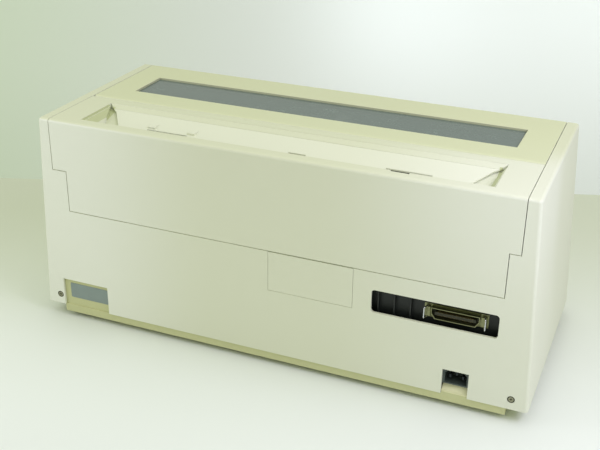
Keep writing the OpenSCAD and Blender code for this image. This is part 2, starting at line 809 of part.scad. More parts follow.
module paper_pan() {
  color("#3a3b3a") {
    floor_z = base_z + pan_t - pan_h;
    outside = pan_line(sheet_t);
    along_x(-pan_half, pan_half)
      polygon(concat(pan_line(0), [for (i = [len(outside) - 1 : -1 : 0]) outside[i]]));
    // Legs that stand on the base pan
    leg_top = arc(pan_c1, pan_r1 + sheet_t / 2, -70, pan_normal - 360, 4);
    leg_end = leg_top[4] + polar(18, pan_normal - 90);
    mirror_pair() along_x(pan_half - 5, pan_half)
      polygon(concat([[leg_top[0][0], floor_z], for (p = leg_top) p, leg_end, [leg_end[0], floor_z]]));
  }
}

module platen_roller() {
  color("#26282a") difference() {
    rod(-platen_len / 2, platen_len / 2, platen_at, platen_r);
    rod(-platen_len / 2 - 1, platen_len / 2 + 1, platen_at, platen_shaft_r + seat);
  }
}

knob_r = 15;
knob_x0 = dish_floor + 0.6;
knob_x1 = half_w(platen_z) + 5;

module platen_shaft() {
  color("#c4c8cb") rod(-frame_x - frame_t - 4, knob_x0 + 8, platen_at, platen_shaft_r);
}

module platen_knob() {
  color("#3a3c3d") difference() {
    union() {
      rod(knob_x0, knob_x1, platen_at, knob_r);
      for (i = [0 : 17]) along_x(knob_x0, knob_x1 - 1) translate(platen_at) rotate(i * 20)
        translate([knob_r, 0])
        circle(1.3, $fn = 16);
    }
    rod(knob_x0 - 1, knob_x0 + 8 + seat, platen_at, platen_shaft_r + seat);
  }
}

// Involute function of a pressure angle, in degrees
function inv(a) = tan(a) * 180 / PI - a;
// Half the angle that a tooth spans at radius r
function tooth_half(n, r, play) = 90 / n + inv(20)
  - inv(acos(min(1, gear_m * n / 2 * cos(20) / r))) - play / r * 90 / PI;
function gear_outline(n) = let(
  r = gear_m * n / 2, ro = r + tooth_add, ri = r - tooth_ded,
  ho = tooth_half(n, ro, 0.12), hp = tooth_half(n, r, 0.12), hi = tooth_half(n, max(ri, r * cos(20)), 0.12))
  [for (i = [0 : n - 1]) for (p = [[ri, -hi], [r, -hp], [ro, -ho], [ro, ho], [r, hp], [ri, hi]])
    polar(p[0], 360 * i / n + p[1])];
// Turns a gear of n2 teeth so that it meshes with one of n1 teeth turned by p1, in direction a
function mesh_turn(a, p1, n1, n2) = a + 180 - (0.5 - (a - p1) * n1 / 360) * 360 / n2;

idler_turn = mesh_turn(train_a, 0, platen_teeth, idler_teeth);
tractor_turn = mesh_turn(train_a, idler_turn, idler_teeth, tractor_teeth);
pinion_turn = mesh_turn(pinion_a, idler_turn, idler_teeth, pinion_teeth);

module gear(n, at, turn, bore) {
  along_x(gear_x, gear_x + gear_w) translate(at) difference() {
    rotate(turn) polygon(gear_outline(n));
    circle(bore);
  }
}

// A gear with a thin web between rim and hub
module webbed_gear(n, at, turn, bore) {
  rim = gear_m * n / 2 - tooth_ded - 2.5;
  difference() {
    gear(n, at, turn, bore);
    for (x = [gear_x - 1, gear_x + gear_w - 2]) along_x(x, x + 3) translate(at) difference() {
      circle(rim);
      circle(bore + 4);
    }
  }
}

module platen_gear() {
  color("#e9e6da") webbed_gear(platen_teeth, platen_at, 0, platen_shaft_r + seat);
}

module idler_gear() {
  color("#e9e6da") webbed_gear(idler_teeth, idler_at, idler_turn, post_r + fit);
}

module idler_post() {
  color("#c4c8cb") {
    rod(frame_x, gear_x + gear_w + 2, idler_at, post_r - seat);
    rod(frame_x + frame_t, gear_x - gap, idler_at, post_r + 2);
    rod(gear_x + gear_w + gap, gear_x + gear_w + 1.5, idler_at, post_r + 2);
  }
}

module feed_pinion() {
  color("#d8c48a") {
    gear(pinion_teeth, pinion_at, pinion_turn, shaft_r - 0.1);
    rod(frame_x - shaft_in + 1, gear_x + gear_w + 1, pinion_at, shaft_r);
  }
}

// A square stepping motor, with its face at the origin, looking along +Z
module stepper(deep) {
  difference() {
    translate([-motor_side / 2, -motor_side / 2, -deep]) cube([motor_side, motor_side, deep]);
    for (sx = [-1, 1], sy = [-1, 1]) translate([sx * motor_side / 2, sy * motor_side / 2, -deep - 1])
      rotate(45) cube([7, 7, 2 * deep + 4], center = true);
    translate([0, 0, -shaft_in]) cylinder(r = shaft_r + fit, h = shaft_in + 1);
  }
  difference() {
    cylinder(r = collar_r, h = 1.8);
    translate([0, 0, -1]) cylinder(r = shaft_r + fit, h = 4);
  }
}

module feed_motor() {
  color("#6d7073") translate([frame_x - seat, pinion_at[0], pinion_at[1]]) rotate([0, 90, 0])
    stepper(motor_deep);
}

module tractor_shaft() {
  color("#c4c8cb") {
    along_x(-frame_x + 2, frame_x - 2) translate(tractor_at) square(square_shaft, center = true);
    rod(-frame_x - frame_t - 3, gear_x + gear_w + 2, tractor_at, square_shaft / 2);
  }
}

module tractor_gear() {
  color("#e9e6da") webbed_gear(tractor_teeth, tractor_at, tractor_turn, square_shaft / 2 + seat);
}

lid_axis_x = tractor_half + 3.5;
lid_v = rear_y - tractor_at[0] - wheel_pitch_r - pin_out - 2.6;
lid_half_z = 17;
lid_pin_r = 1.5;
hinge_half = 8;
lid_front = 1.2;
lid_back = rear_y - lid_v - 1 + lid_front;
hinge_deep = 13.4;

// A cheek of the tractor's frame, round the wheel and the support shaft
module cheek_profile() {
  difference() {
    union() {
      translate(tractor_at) circle(wheel_r - 1);
      translate(support_at) circle(9);
      polygon([tractor_at + [0, wheel_r - 1], support_at + [3.7, 8.2],
        support_at + [-3.7, -8.2], tractor_at + [-9, -wheel_r + 3]]);
    }
    translate(tractor_at) circle(square_shaft * 0.72 + 0.6);
    translate(support_at) circle(support_r + fit);
  }
}

module tractor(s) {
  color("#34373a") mirror([s < 0 ? 1 : 0, 0, 0]) translate([tractor_x, 0, 0]) {
    along_x(-tractor_half, -wheel_half - gap) cheek_profile();
    along_x(wheel_half + gap, tractor_half) cheek_profile();
    difference() {
      rod(-tractor_half, tractor_half, support_at, 8);
      rod(-tractor_half - 1, tractor_half + 1, support_at, support_r + fit);
    }
    // Hinge block of the lid
    difference() {
      translate([tractor_half - 0.2, lid_back + 1.2 - hinge_deep, tractor_at[1] - hinge_half])
        cube([7, hinge_deep, 2 * hinge_half]);
      translate([lid_axis_x, lid_back - lid_front, tractor_at[1]])
        cylinder(r = lid_pin_r + fit, h = 40, center = true);
    }
  }
}

module pin_wheel(s) {
  color("#e9e6da") mirror([s < 0 ? 1 : 0, 0, 0]) translate([tractor_x, 0, 0]) {
    difference() {
      rod(-wheel_half, wheel_half, tractor_at, wheel_r);
      along_x(-wheel_half - 1, wheel_half + 1) translate(tractor_at)
        square(square_shaft + 2 * fit, center = true);
    }
    for (i = [0 : wheel_pins - 1]) translate([0, tractor_at[0], tractor_at[1]])
      rotate([i * 360 / wheel_pins, 0, 0]) {
      translate([0, 0, wheel_r - 0.5]) cylinder(r = 1.9, h = 1.5, $fn = 20);
      translate([0, 0, wheel_r + 1]) cylinder(r1 = 1.9, r2 = 1, h = pin_out - 0.4, $fn = 20);
    }
  }
}

module tractor_lid(s) {
  color("#4a4d50") mirror([s < 0 ? 1 : 0, 0, 0]) translate([tractor_x, 0, 0]) {
    y0 = lid_back - lid_front;
    lid_t = 2;
    cut_z = hinge_half + gap;
    translate([-tractor_half, lid_back, tractor_at[1] - lid_half_z]) difference() {
      cube([lid_axis_x + tractor_half, lid_t, 2 * lid_half_z]);
      translate([lid_axis_x + tractor_half - 4.6, -1, lid_half_z - cut_z]) cube([20, lid_t + 2, 2 * cut_z]);
    }
    translate([lid_axis_x, y0, tractor_at[1]]) cylinder(r = lid_pin_r, h = 2 * lid_half_z, center = true);
    for (u = [-1, 1]) translate([lid_axis_x - 3, y0, tractor_at[1] + (u > 0 ? cut_z : -lid_half_z)])
      cube([3, 2, lid_half_z - cut_z]);
  }
}

module paper_bail() {
  color("#c4c8cb") rod(-frame_x + 2.5, frame_x - 2.5, bail_at, bail_bar_r - fit);
  color("#c4c8cb") mirror_pair() along_x(frame_x - 6, frame_x - 2) difference() {
    union() {
      translate(bail_at) circle(5);
      translate(bail_pivot) circle(6);
      polygon([bail_at + [-1.5, 4.8], bail_pivot + [1.6, 5.8],
        bail_pivot + [-1.6, -5.8], bail_at + [-0.6, -4.8]]);
    }
    translate(bail_pivot) circle(bail_pin_r + fit);
  }
}

module bail_rollers() {
  color("#303234") for (x = [-150, -50, 50, 150]) difference() {
    rod(x - 7, x + 7, bail_at, bail_roller_r);
    rod(x - 8, x + 8, bail_at, bail_bar_r);
  }
}

module release_lever() {
  color("#2f6fa8") {
    rod(-frame_x - frame_t - 2, -frame_x + 8, lever_at, lever_r);
    along_x(-frame_x + 4, -frame_x + 8) {
      translate(lever_at) circle(lever_r + 3);
      polygon([lever_at + [-4, 0], lever_at + [5, 0], lever_at + [9, lever_long], lever_at + [3,
        lever_long]]);
    }
    rod(-frame_x + 2, -frame_x + 14, lever_at + [6, lever_long + 1], 4);
  }
}

belt_top = base_z + pulley_z + pulley_r + 0.1;
deck_z = guide_z0 + 10;
deck_t = 4;
deck_half = 22;

module carriage() {
  color("#2e3133") translate([home_x, 0, 0]) {
    difference() {
      union() {
        slab(-deck_half, deck_half, guide_v - 10, guide_v + 10, guide_z0 - 10, deck_z);
        slab(-deck_half, deck_half, guide_v - deck_half, cartridge_v1, deck_z, deck_z + deck_t);
        slab(-12, 12, belt_v - 4.5, belt_v + 4.5, pulley_z + 3, guide_z0 - 10);
        slab(-10, 10, rail_v - 1, rail_v + 10, rail_z + gap, deck_z);
        slab(-deck_half, deck_half, guide_v + 10, cartridge_v1, deck_z - 3, deck_z);
        slab(-cartridge_w / 2, cartridge_w / 2, cartridge_v0 - 1, cartridge_v1, deck_z + 1, deck_z + deck_t);
      }
      rod(-30, 30, guide_at, guide_r + fit);
      // Clamp slot that the belt's upper run passes through
      translate([-30, rear_y - belt_v - belt_w / 2 - gap, belt_top - gap])
        cube([60, belt_w + 2 * gap, belt_t + 2 * gap]);
    }
  }
}

module print_head() {
  color("#3b3d3f") translate([home_x, 0, 0]) {
    half = head_w / 2;
    low_z = deck_z + deck_t;
    top_z = deck_z + 41;
    body_v = nose_v + 10.4;
    fin_v = head_v - 11;
    fin_step = (head_w - 2) / 6;
    slab(-half, half, body_v - 2, head_v - 1, low_z, low_z + 4);
    slab(-half, half, body_v, fin_v, low_z + 4, top_z);
    // Tapered nose that holds the printing wires
    along_x(-6, 6) polygon([yz(nose_v, platen_z - 4), yz(nose_v, platen_z + 4), yz(nose_v + 3, platen_z + 5),
      yz(body_v, platen_z + 9), yz(body_v, platen_z - 9), yz(nose_v + 3, platen_z - 5)]);
    // Cooling fins
    for (i = [0 : 6]) slab(fin_step * i - half, fin_step * i - half + 2, fin_v, head_v, low_z + 4, top_z);
  }
}

module ribbon_cartridge() {
  z0 = deck_z + deck_t + gap;
  z1 = deck_z + 48;
  arm_x = 27;
  color("#1f2123") translate([home_x, 0, 0]) {
    slab(-cartridge_w / 2, cartridge_w / 2, cartridge_v0, cartridge_v1, z0, z1);
    for (s = [-1, 1]) slab(s * arm_x - 3, s * arm_x + 3, nose_v + 3.4, cartridge_v0 + 0.1, z0 + 12, z0 + 26);
    // Winding knob on top of the cartridge
    translate([22, rear_y - cartridge_v0 - 14, base_z + z1]) cylinder(r = 7, h = 3);
  }
}

module carriage_motor() {
  color("#6d7073") translate([-pulley_x, rear_y - motor_v + seat, base_z + pulley_z]) rotate([90, 0, 0])
    stepper(motor_deep);
}

bracket_t = 2;

module belt_brackets() {
  color("#a9adb0") mirror_pair() difference() {
    union() {
      slab(frame_x - 44, frame_x, motor_v, motor_v + bracket_t, pulley_z - 24, pulley_z + 21.6);
      slab(frame_x - tie_t, frame_x, motor_v + bracket_t, motor_v + 11, pulley_z - 24, pulley_z + 6);
    }
    bore_in(pulley_x, motor_v - 1, motor_v + bracket_t + 1, pulley_z, collar_r + 0.1);
  }
  // Post of the idler pulley
  color("#a9adb0") {
    bore_in(pulley_x, motor_v, motor_v + bracket_t, pulley_z, collar_r + 0.1 - seat);
    bore_in(pulley_x, motor_v + 1, belt_v + 5, pulley_z, shaft_r);
  }
}

module stadium(half, r) {
  square([2 * half, 2 * r], center = true);
  for (s = [-1, 1]) translate([s * half, 0]) circle(r);
}

module drive_belt() {
  r = pulley_r + 0.1;
  color("#1a1b1c") translate([0, rear_y - belt_v + belt_w / 2, base_z + pulley_z]) rotate([90, 0, 0])
    linear_extrude(belt_w) difference() {
      stadium(pulley_x, r + belt_t);
      stadium(pulley_x, r);
    }
}

module belt_pulley(s) {
  cheek_v = belt_w / 2 + gap;
  cheek_t = 0.8;
  color("#d8c48a") if (s < 0) bore_in(s * pulley_x, motor_v - shaft_in + 1, belt_v + 5, pulley_z, shaft_r);
  color("#d8c48a") difference() {
    union() {
      bore_in(s * pulley_x, belt_v - cheek_v, belt_v + cheek_v, pulley_z, pulley_r);
      bore_in(s * pulley_x, belt_v - cheek_v - cheek_t, belt_v - cheek_v, pulley_z, pulley_r + 1.2);
      bore_in(s * pulley_x, belt_v + cheek_v, belt_v + cheek_v + cheek_t, pulley_z, pulley_r + 1.2);
    }
    bore_in(s * pulley_x, belt_v - 10, belt_v + 10, pulley_z, s < 0 ? shaft_r - 0.1 : shaft_r + fit);
  }
}

module main_board() {
  top = board_top;
  color("#3f6b45") slab(-board_x - 10, board_x + 10, 60, 210, board_z, top);
  color("#26282a") {
    for (i = [0 : 3]) slab(-120 + 42 * i, -98 + 42 * i, 100, 118, top, top + 4);
    for (i = [0 : 4]) slab(-120 + 42 * i, -104 + 42 * i, 140, 176, top, top + 4);
    slab(-60, 60, 192, 200, top, top + 9);
  }
}

module filter_capacitors() {
  r = 12;
  tall = 38;
  color("#3b4a66") for (v = [90, 122]) translate([122, rear_y - v, base_z + board_top]) {
    cylinder(r = r, h = tall);
    translate([0, 0, tall]) cylinder(r1 = r, r2 = r - 1, h = 1);
  }
}

module transformer() {
  floor_z = pan_t - pan_h;
  color("#77716a") {
    slab(coil_x, coil_x + coil_w, 112, 172, floor_z + 2, floor_z + 56);
    slab(coil_x, coil_x + coil_w, 104, 180, floor_z, floor_z + 2);
  }
  color("#b99b5a") slab(coil_x + 10, coil_x + coil_w - 10, 104.5, 179.5, floor_z + 12, floor_z + 46);
}

panel_x = base_w / 2 - 120;
panel_w = 140;
panel_h = 32;
panel_z = body_h - lip_h - panel_h;
button_w = 16;
button_h = 9;
button_z = panel_z - 4;
button_x = [panel_x - 52, panel_x - 28, panel_x - 4];
lamp_r = 1.6;
lamp_z = panel_z + 8;
rocker_x = panel_x + 42;
rocker_w = 12;
rocker_axis = 6.5;
rocker_pin_r = 1.5;

module control_panel() {
  color("#5b5e5c") on_front() difference() {
    union() {
      translate([panel_x - panel_w / 2 + gap, 0.5, panel_z - panel_h / 2 + gap])
        cube([panel_w - 2 * gap, wall, panel_h - 2 * gap]);
      translate([panel_x - panel_w / 2 - 4, wall + 0.3, panel_z - panel_h / 2 - 4])
        cube([panel_w + 8, 1.5, panel_h + 8]);
      for (s = [-1, 1]) translate([rocker_x + s * 8.5 - 1.5, wall + 1.7, panel_z - 5]) cube([3, 6, 10]);
    }
    for (x = button_x) translate([x - button_w / 2 - gap, -1, button_z - button_h / 2 - gap])
      cube([button_w + 2 * gap, wall + 5, button_h + 2 * gap]);
    for (x = button_x) translate([x, 0, lamp_z]) rotate([-90, 0, 0]) cylinder(r = lamp_r, h = wall + 5);
    translate([rocker_x - rocker_w / 2 - gap, -1, panel_z - 10 - gap])
      cube([rocker_w + 2 * gap, wall + 3.5, 20 + 2 * gap]);
    translate([rocker_x - 20, rocker_axis, panel_z]) rotate([0, 90, 0])
      cylinder(r = rocker_pin_r + fit, h = 40);
  }
}

module indicator_lamps() {
  color("#4f9a58") on_front() for (x = button_x) translate([x, 0.2, lamp_z]) rotate([-90, 0, 0]) {
    cylinder(r = lamp_r - seat, h = wall + 3);
    translate([0, 0, wall + 1.7]) cylinder(r = 2.4, h = 3);
  }
}

module panel_button(i) {
  color("#d9dac6") on_front() {
    translate([button_x[i] - button_w / 2, -1.2, button_z - button_h / 2])
      cube([button_w, wall + 5, button_h]);
    translate([button_x[i] - button_w / 2 - 1.5, wall + 2.1, button_z - button_h / 2 - 1.5])
      cube([button_w + 3, 1.5, button_h + 3]);
  }
}

module power_rocker() {
  color("#1d1f1f") on_front() {
    translate([rocker_x - rocker_w / 2, rocker_axis, panel_z]) rotate([0, 90, 0]) linear_extrude(rocker_w)
      polygon([[-8.4, -5.2], [0, -6], [8.4, -7.8], [8.4, -2], [3, 2.4], [-3, 2.4], [-8.4, -2]]);
    translate([rocker_x - 9.5, rocker_axis, panel_z]) rotate([0, 90, 0]) cylinder(r = rocker_pin_r, h = 19);
  }
}

base_pan();
housing();
rubber_feet();
housing_screws();
hinge_pins();
rear_cover();
guide_plate();
top_cover();
window();
option_cover();
interface_plate();
socket_shell();
socket_insert();
socket_bail(1);  // socket_bail_left
socket_bail(-1);  // socket_bail_right
ac_inlet();
inlet_pins();
side_frame(false);  // side_frame_left
side_frame(true);  // side_frame_right
rear_tie();
front_rail();
guide_shafts();
platen_bushes();
paper_pan();
platen_roller();
platen_shaft();
platen_gear();
platen_knob();
idler_gear();
idler_post();
feed_pinion();
feed_motor();
tractor_shaft();
tractor_gear();
tractor(-1);  // tractor_left
pin_wheel(-1);  // pin_wheel_left
tractor_lid(-1);  // tractor_lid_left
tractor(1);  // tractor_right
pin_wheel(1);  // pin_wheel_right
tractor_lid(1);  // tractor_lid_right
paper_bail();
bail_rollers();
release_lever();
carriage();
print_head();
ribbon_cartridge();
carriage_motor();
belt_brackets();
drive_belt();
belt_pulley(-1);  // motor_pulley
belt_pulley(1);  // idler_pulley
main_board();
filter_capacitors();
transformer();
control_panel();
indicator_lamps();
panel_button(0);  // button_left
panel_button(1);  // button_middle
panel_button(2);  // button_right
power_rocker();
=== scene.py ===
import json
import math
from functools import cache

import bmesh
import bpy
from bpy.props import FloatProperty, FloatVectorProperty, IntProperty, PointerProperty
from mathutils import Matrix, Vector

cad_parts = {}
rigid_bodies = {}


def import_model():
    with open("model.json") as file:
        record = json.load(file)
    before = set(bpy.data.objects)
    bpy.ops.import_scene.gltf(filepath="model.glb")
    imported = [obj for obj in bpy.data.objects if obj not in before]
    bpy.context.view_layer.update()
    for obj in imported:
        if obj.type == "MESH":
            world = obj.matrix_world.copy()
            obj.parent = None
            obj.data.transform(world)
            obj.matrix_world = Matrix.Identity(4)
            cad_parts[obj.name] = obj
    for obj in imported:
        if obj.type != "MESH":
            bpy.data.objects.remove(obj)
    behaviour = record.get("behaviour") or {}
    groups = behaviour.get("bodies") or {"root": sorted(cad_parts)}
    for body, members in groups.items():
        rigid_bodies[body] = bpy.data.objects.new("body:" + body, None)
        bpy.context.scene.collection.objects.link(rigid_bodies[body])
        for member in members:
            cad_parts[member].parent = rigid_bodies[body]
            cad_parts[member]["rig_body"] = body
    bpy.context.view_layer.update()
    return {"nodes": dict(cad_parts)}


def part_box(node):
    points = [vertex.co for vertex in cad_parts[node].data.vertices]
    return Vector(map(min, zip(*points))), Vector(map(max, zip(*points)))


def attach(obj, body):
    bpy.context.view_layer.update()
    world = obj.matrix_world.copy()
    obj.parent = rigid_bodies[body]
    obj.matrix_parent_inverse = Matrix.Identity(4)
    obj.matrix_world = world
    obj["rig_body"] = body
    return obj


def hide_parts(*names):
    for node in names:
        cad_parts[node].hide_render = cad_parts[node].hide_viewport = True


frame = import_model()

bl_info = {
    "name": "Dot matrix printer",
    "version": (1, 0, 0),
    "blender": (4, 5, 0),
    "location": "3D View > Sidebar > Printer",
    "description": "Dresses the packed frame of a wide-carriage dot matrix printer",
    "category": "Object",
}

MM = 0.001
NODES = frame["nodes"]
AXIS = {"x": Vector((1, 0, 0)), "y": Vector((0, 1, 0)), "z": Vector((0, 0, 1))}

# The camera of the photograph, fitted to the corners of the cabinet and its covers
CAMERA_PLACE = Vector((-0.39802, 1.01573, 0.64305))
CAMERA_RIGHT = Vector((-0.92426, -0.38159, 0.01175)).normalized()
CAMERA_AHEAD = Vector((0.33952, -0.83565, -0.43177)).normalized()
SENSOR_WIDTH = 36
FOCAL_LENGTH = 59.486
CLIP_START = 0.01
CLIP_END = 50

# Directions on the floor: away from the camera, and along the wall
BEHIND = Vector((0.3405, -0.9403, 0))
BESIDE = Vector((0.9403, 0.3405, 0))

# When an edge counts as sharp, two faces count as one, and two vertices as one
SHARP_ANGLE = math.radians(38)
FLAT_ANGLE = math.radians(0.4)
SAME_PLACE = 2e-6

# How much rounder the parts are that a hand or the floor touches
SOFT = 1.6


def rgb(*levels):
    """A colour given as 0 to 255 on screen, as the shader wants it"""
    return tuple(((c / 255 + 0.055) / 1.055) ** 2.4 if c > 10 else c / 255 / 12.92 for c in levels)


def low(node):
    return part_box(node)[0]


def high(node):
    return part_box(node)[1]


def centre_of(node):
    return tuple((a + b) / 2 for a, b in zip(*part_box(node)))


def body_of(node):
    return NODES[node]["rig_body"]


# Sizes and colours that a user would change


def length(label, text, default):
    return FloatProperty(
        name=label, description=text, default=default, min=0, subtype="DISTANCE", unit="LENGTH")


def tint(label, text, levels):
    return FloatVectorProperty(
        name=label, description=text, default=rgb(*levels), size=3, min=0, max=1, subtype="COLOR")


class PrinterSizes(bpy.types.PropertyGroup):
    """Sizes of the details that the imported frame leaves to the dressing"""

    cover_edge: length("Cover edge", "Rounding of the moulded covers' edges", 0.5 * MM)
    small_edge: length("Small edge", "Rounding of small mouldings", 0.35 * MM)
    metal_edge: length("Metal edge", "Rounding of sheet metal edges", 0.2 * MM)
    belt_pitch: length("Belt pitch", "Distance between two belt teeth", 2.0 * MM)
    contact_pitch: length("Contact pitch", "Distance between two contacts of the interface socket", 2.16 * MM)
    contacts: IntProperty(
        name="Contacts", description="Contacts in one row of the interface socket", default=18, min=1)
    knob_ribs: IntProperty(
        name="Knob ribs", description="Grip ribs round the platen knob", default=36, min=6)
    ribbon_height: length("Ribbon height", "Height of the inked ribbon", 13 * MM)
    wire: length("Wire", "Radius of the bails' wire", 0.7 * MM)
    wire_bend: length("Wire bend", "Radius of the bends in the bails' wire", 1.8 * MM)
    screw_head: length("Screw head", "Radius of a frame screw's head", 2.8 * MM)


class PrinterColours(bpy.types.PropertyGroup):
    """Base colours of the main finishes"""

    cabinet: tint("Cabinet", "Moulded housing and covers", (220, 223, 203))
    aged: tint("Aged cabinet", "What the light has done to the faces that look up", (215, 220, 183))
    lid: tint("Aged lid", "What the light has done to the top cover", (211, 217, 170))
    pan: tint("Base pan", "Cream base pan", (197, 199, 150))
    guide: tint("Guide plate", "Sloped paper guide", (227, 231, 205))
    smoke: tint("Window", "Smoked window", (101, 117, 111))
    ink: tint("Dark mouldings", "Black and dark grey mouldings", (34, 37, 36))
    nylon: tint("Nylon", "Gears and wheels", (226, 223, 208))


# Shader maths


def maths(operation, swapped=False):
    """A method that joins two values by a maths node"""

    def method(self, other):
        first, second = (other, self) if swapped else (self, other)
        return self.recipe.add("Math", {0: first, 1: second}, operation=operation)

    return method


class Value:
    """A socket of a material that takes part in arithmetic"""

    def __init__(self, recipe, socket):
        self.recipe = recipe
        self.socket = socket

    __add__ = maths("ADD")
    __radd__ = maths("ADD")
    __sub__ = maths("SUBTRACT")
    __rsub__ = maths("SUBTRACT", swapped=True)
    __mul__ = maths("MULTIPLY")
    __rmul__ = maths("MULTIPLY")
    __truediv__ = maths("DIVIDE")
    __gt__ = maths("GREATER_THAN")
    __lt__ = maths("LESS_THAN")

    def root(self):
        return self.recipe.add("Math", {0: self, 1: 0.5}, operation="POWER")

    def kept(self, lowest=0.0, highest=1.0):
        return self.recipe.add("Clamp", {0: self, 1: lowest, 2: highest})


class Recipe:
    """One procedural finish: a principled shader and what feeds it"""

    def __init__(self, name, **constants):
        self.material = bpy.data.materials.new(name)
        self.material.use_nodes = True
        self.tree = self.material.node_tree
        self.shader = self.tree.nodes["Principled BSDF"]
        self.place = self.add("TexCoord", out="Object")
        self.facing = Value(self, self.place.socket.node.outputs["Normal"])
        self.feed(constants)

    def add(self, kind, sockets=None, out=0, **settings):
        node = self.tree.nodes.new("ShaderNode" + kind)
        for key, value in settings.items():
            setattr(node, key, value)
        for key, value in (sockets or {}).items():
            self.plug(node.inputs[key], value)
        return Value(self, node.outputs[out])

    def plug(self, socket, value):
        if isinstance(value, Value):
            self.tree.links.new(value.socket, socket)
        elif socket.type == "RGBA" and len(value) == 3:
            socket.default_value = (*value, 1)
        else:
            socket.default_value = value

    def feed(self, values):
        """Feeds sockets of the shader, their names written with underscores"""
        for key, value in values.items():
            self.plug(self.shader.inputs[key.replace("_", " ")], value)

    def done(self, colour, rough, **others):
        """The finished material"""
        self.feed({"Base_Color": colour, "Roughness": rough, **others})
        return self.material

    def noise(self, scale, detail=2.0, rough=0.5, stretch=None):
        where = self.add("Mapping", {"Vector": self.place, "Scale": stretch}) if stretch else self.place
        return self.add("TexNoise", {"Vector": where, "Scale": scale, "Detail": detail, "Roughness": rough})

    def waves(self, scale, direction="X", distortion=0.0):
        sockets = {"Vector": self.place, "Scale": scale, "Distortion": distortion}
        return self.add("TexWave", sockets, bands_direction=direction)

    def part(self, value, axis):
        return self.add("SeparateXYZ", {0: value}, axis)

    def mix(self, factor, first, second):
        return self.add("Mix", {0: factor, 6: first, 7: second}, 2, data_type="RGBA")

    def bump(self, height, strength, distance):
        return self.add("Bump", {"Height": height, "Strength": strength, "Distance": distance})

    def smooth(self, value, start, end):
        """0 before start, 1 after end"""
        return self.add("MapRange", {0: value, 1: start, 2: end}, interpolation_type="SMOOTHSTEP")

    def within(self, lo, hi):
        """1 inside a box in the rest pose, 0 outside"""
        inside = 1.0
        for axis, first, last in zip("XYZ", lo, hi):
            at = self.part(self.place, axis)
            inside = (at > first) * (at < last) * inside
        return inside

    def sloping(self, steep, flat):
        """1 on faces that look up less than steep says, 0 on those that look up more than flat says"""
        return 1 - self.smooth(self.part(self.facing, "Z"), steep, flat)


def shade(colour, gain):
    return tuple(min(1.0, c * gain) for c in colour)


# Finishes


def moulded(name, colour, rough=0.5, grain=0.25, grime=0.04, painted_shading=None, aged=None):
    """Moulded plastic: fine grain, slow colour drift, aged faces that look up, scuffs, and painted light and
    shade where given
    """
    r = Recipe(name, IOR=1.46)
    drift = r.noise(5, 3)
    base = r.mix(drift, shade(colour, 1 - grime), shade(colour, 1 + grime * 0.5))
    if aged:
        up = r.smooth(r.part(r.facing, "Z"), 0.3, 0.95) * (0.55 + 0.45 * r.noise(2.2, 2))
        base = r.mix(up.kept(), base, aged)
    scuff = r.smooth(r.noise(38, 6, 0.7), 0.62, 0.78)
    base = r.mix(scuff * 0.18, base, shade(colour, 0.86))
    if painted_shading:
        base = painted_shading(r, base)
    grit = r.noise(1500, 2, 0.6) * 0.6 + r.noise(420, 2, 0.5) * 0.4
    return r.done(
        base, (rough + 0.16 * (drift - 0.5) + 0.06 * scuff).kept(0.05, 0.95),
        Normal=r.bump(grit, grain, 0.06 * MM))


def shaded_opening_walls(r, base):
    """Painted shade on the walls of the window's opening"""
    lo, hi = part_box("window")
    margin, lip = 1.5 * MM, 8 * MM
    top = high("top_cover")[2] - 0.35 * MM
    inside = r.within([at - margin for at in lo], (hi[0] + margin, hi[1] + lip, top))
    return r.mix(inside * r.sloping(0.5, 0.9), base, rgb(186, 189, 156))


def shaded_pocket_walls(r, base):
    """Painted shade on the walls of the two wells beside the guide plate"""
    lo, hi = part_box("guide_plate")
    reach, overlap = 30 * MM, 1 * MM
    front, rear = lo[1] - 2 * MM, hi[1] + 4 * MM
    foot, top = 0.2, high("rear_cover")[2] - 0.4 * MM
    for near, far in ((lo[0] - reach, lo[0] + overlap), (hi[0] - overlap, hi[0] + reach)):
        inside = r.within((near, front, foot), (far, rear, top))
        base = r.mix(0.8 * inside * r.sloping(0.97, 0.995), base, rgb(188, 196, 142))
    return base


def painted_light_ends(r, base):
    """Painted light and shade: the rear is painted darker across its middle and paler at its ends, the right
    end paler high up
    """
    x, y, z = (r.part(r.place, axis) for axis in "XYZ")
    rear = r.smooth(r.part(r.facing, "Y"), 0.6, 0.9)
    left = r.smooth(x, 0.06, 0.25) * rear
    right = 1 - r.smooth(x, -0.27, -0.05)
    base = r.mix(0.3 * rear * (1 - left - right).kept(), base, rgb(206, 209, 169))
    high_up = r.smooth(y, -0.02, 0.05) * (0.25 + 0.75 * r.smooth(z, 0.08, 0.24))
    return r.mix(0.36 * (left + right * high_up).kept(), base, rgb(246, 248, 240))


def cabinet_rear(r, base):
    # Painted light on the rear's ends and painted shade in the wells
    return shaded_pocket_walls(r, painted_light_ends(r, base))


def painted_light_ledge(r, base):
    """Painted light on the ledge under the mains inlet, painted paler than the rest of the pan"""
    lo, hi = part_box("ac_inlet")
    margin, depth = 3 * MM, 0.1
    foot = low("housing")[2] + 1 * MM
    inside = r.within((lo[0] - margin, lo[1] - depth, foot), (hi[0] + margin, hi[1] + depth, hi[2]))
    return r.mix(0.75 * inside, base, rgb(232, 230, 190))


def smoked(name, colour):
    """Smoked clear plastic: fine wiping scratches and a little dust on its face"""
    r = Recipe(name, IOR=1.49, Specular_IOR_Level=0.6, Coat_Weight=0.4, Coat_Roughness=0.06)
    streaks = r.noise(14, 4, 0.6, stretch=(0.35, 3, 1))
    dust = r.smooth(r.noise(60, 5, 0.7), 0.5, 0.8)
    return r.done(
        r.mix((0.5 * streaks + 0.25 * dust).kept(), colour, shade(colour, 1.35)),
        (0.13 + 0.12 * streaks + 0.15 * dust).kept(),
        Alpha=(0.86 + 0.08 * dust).kept(), Normal=r.bump(r.noise(240, 2), 0.02, 0.02 * MM))


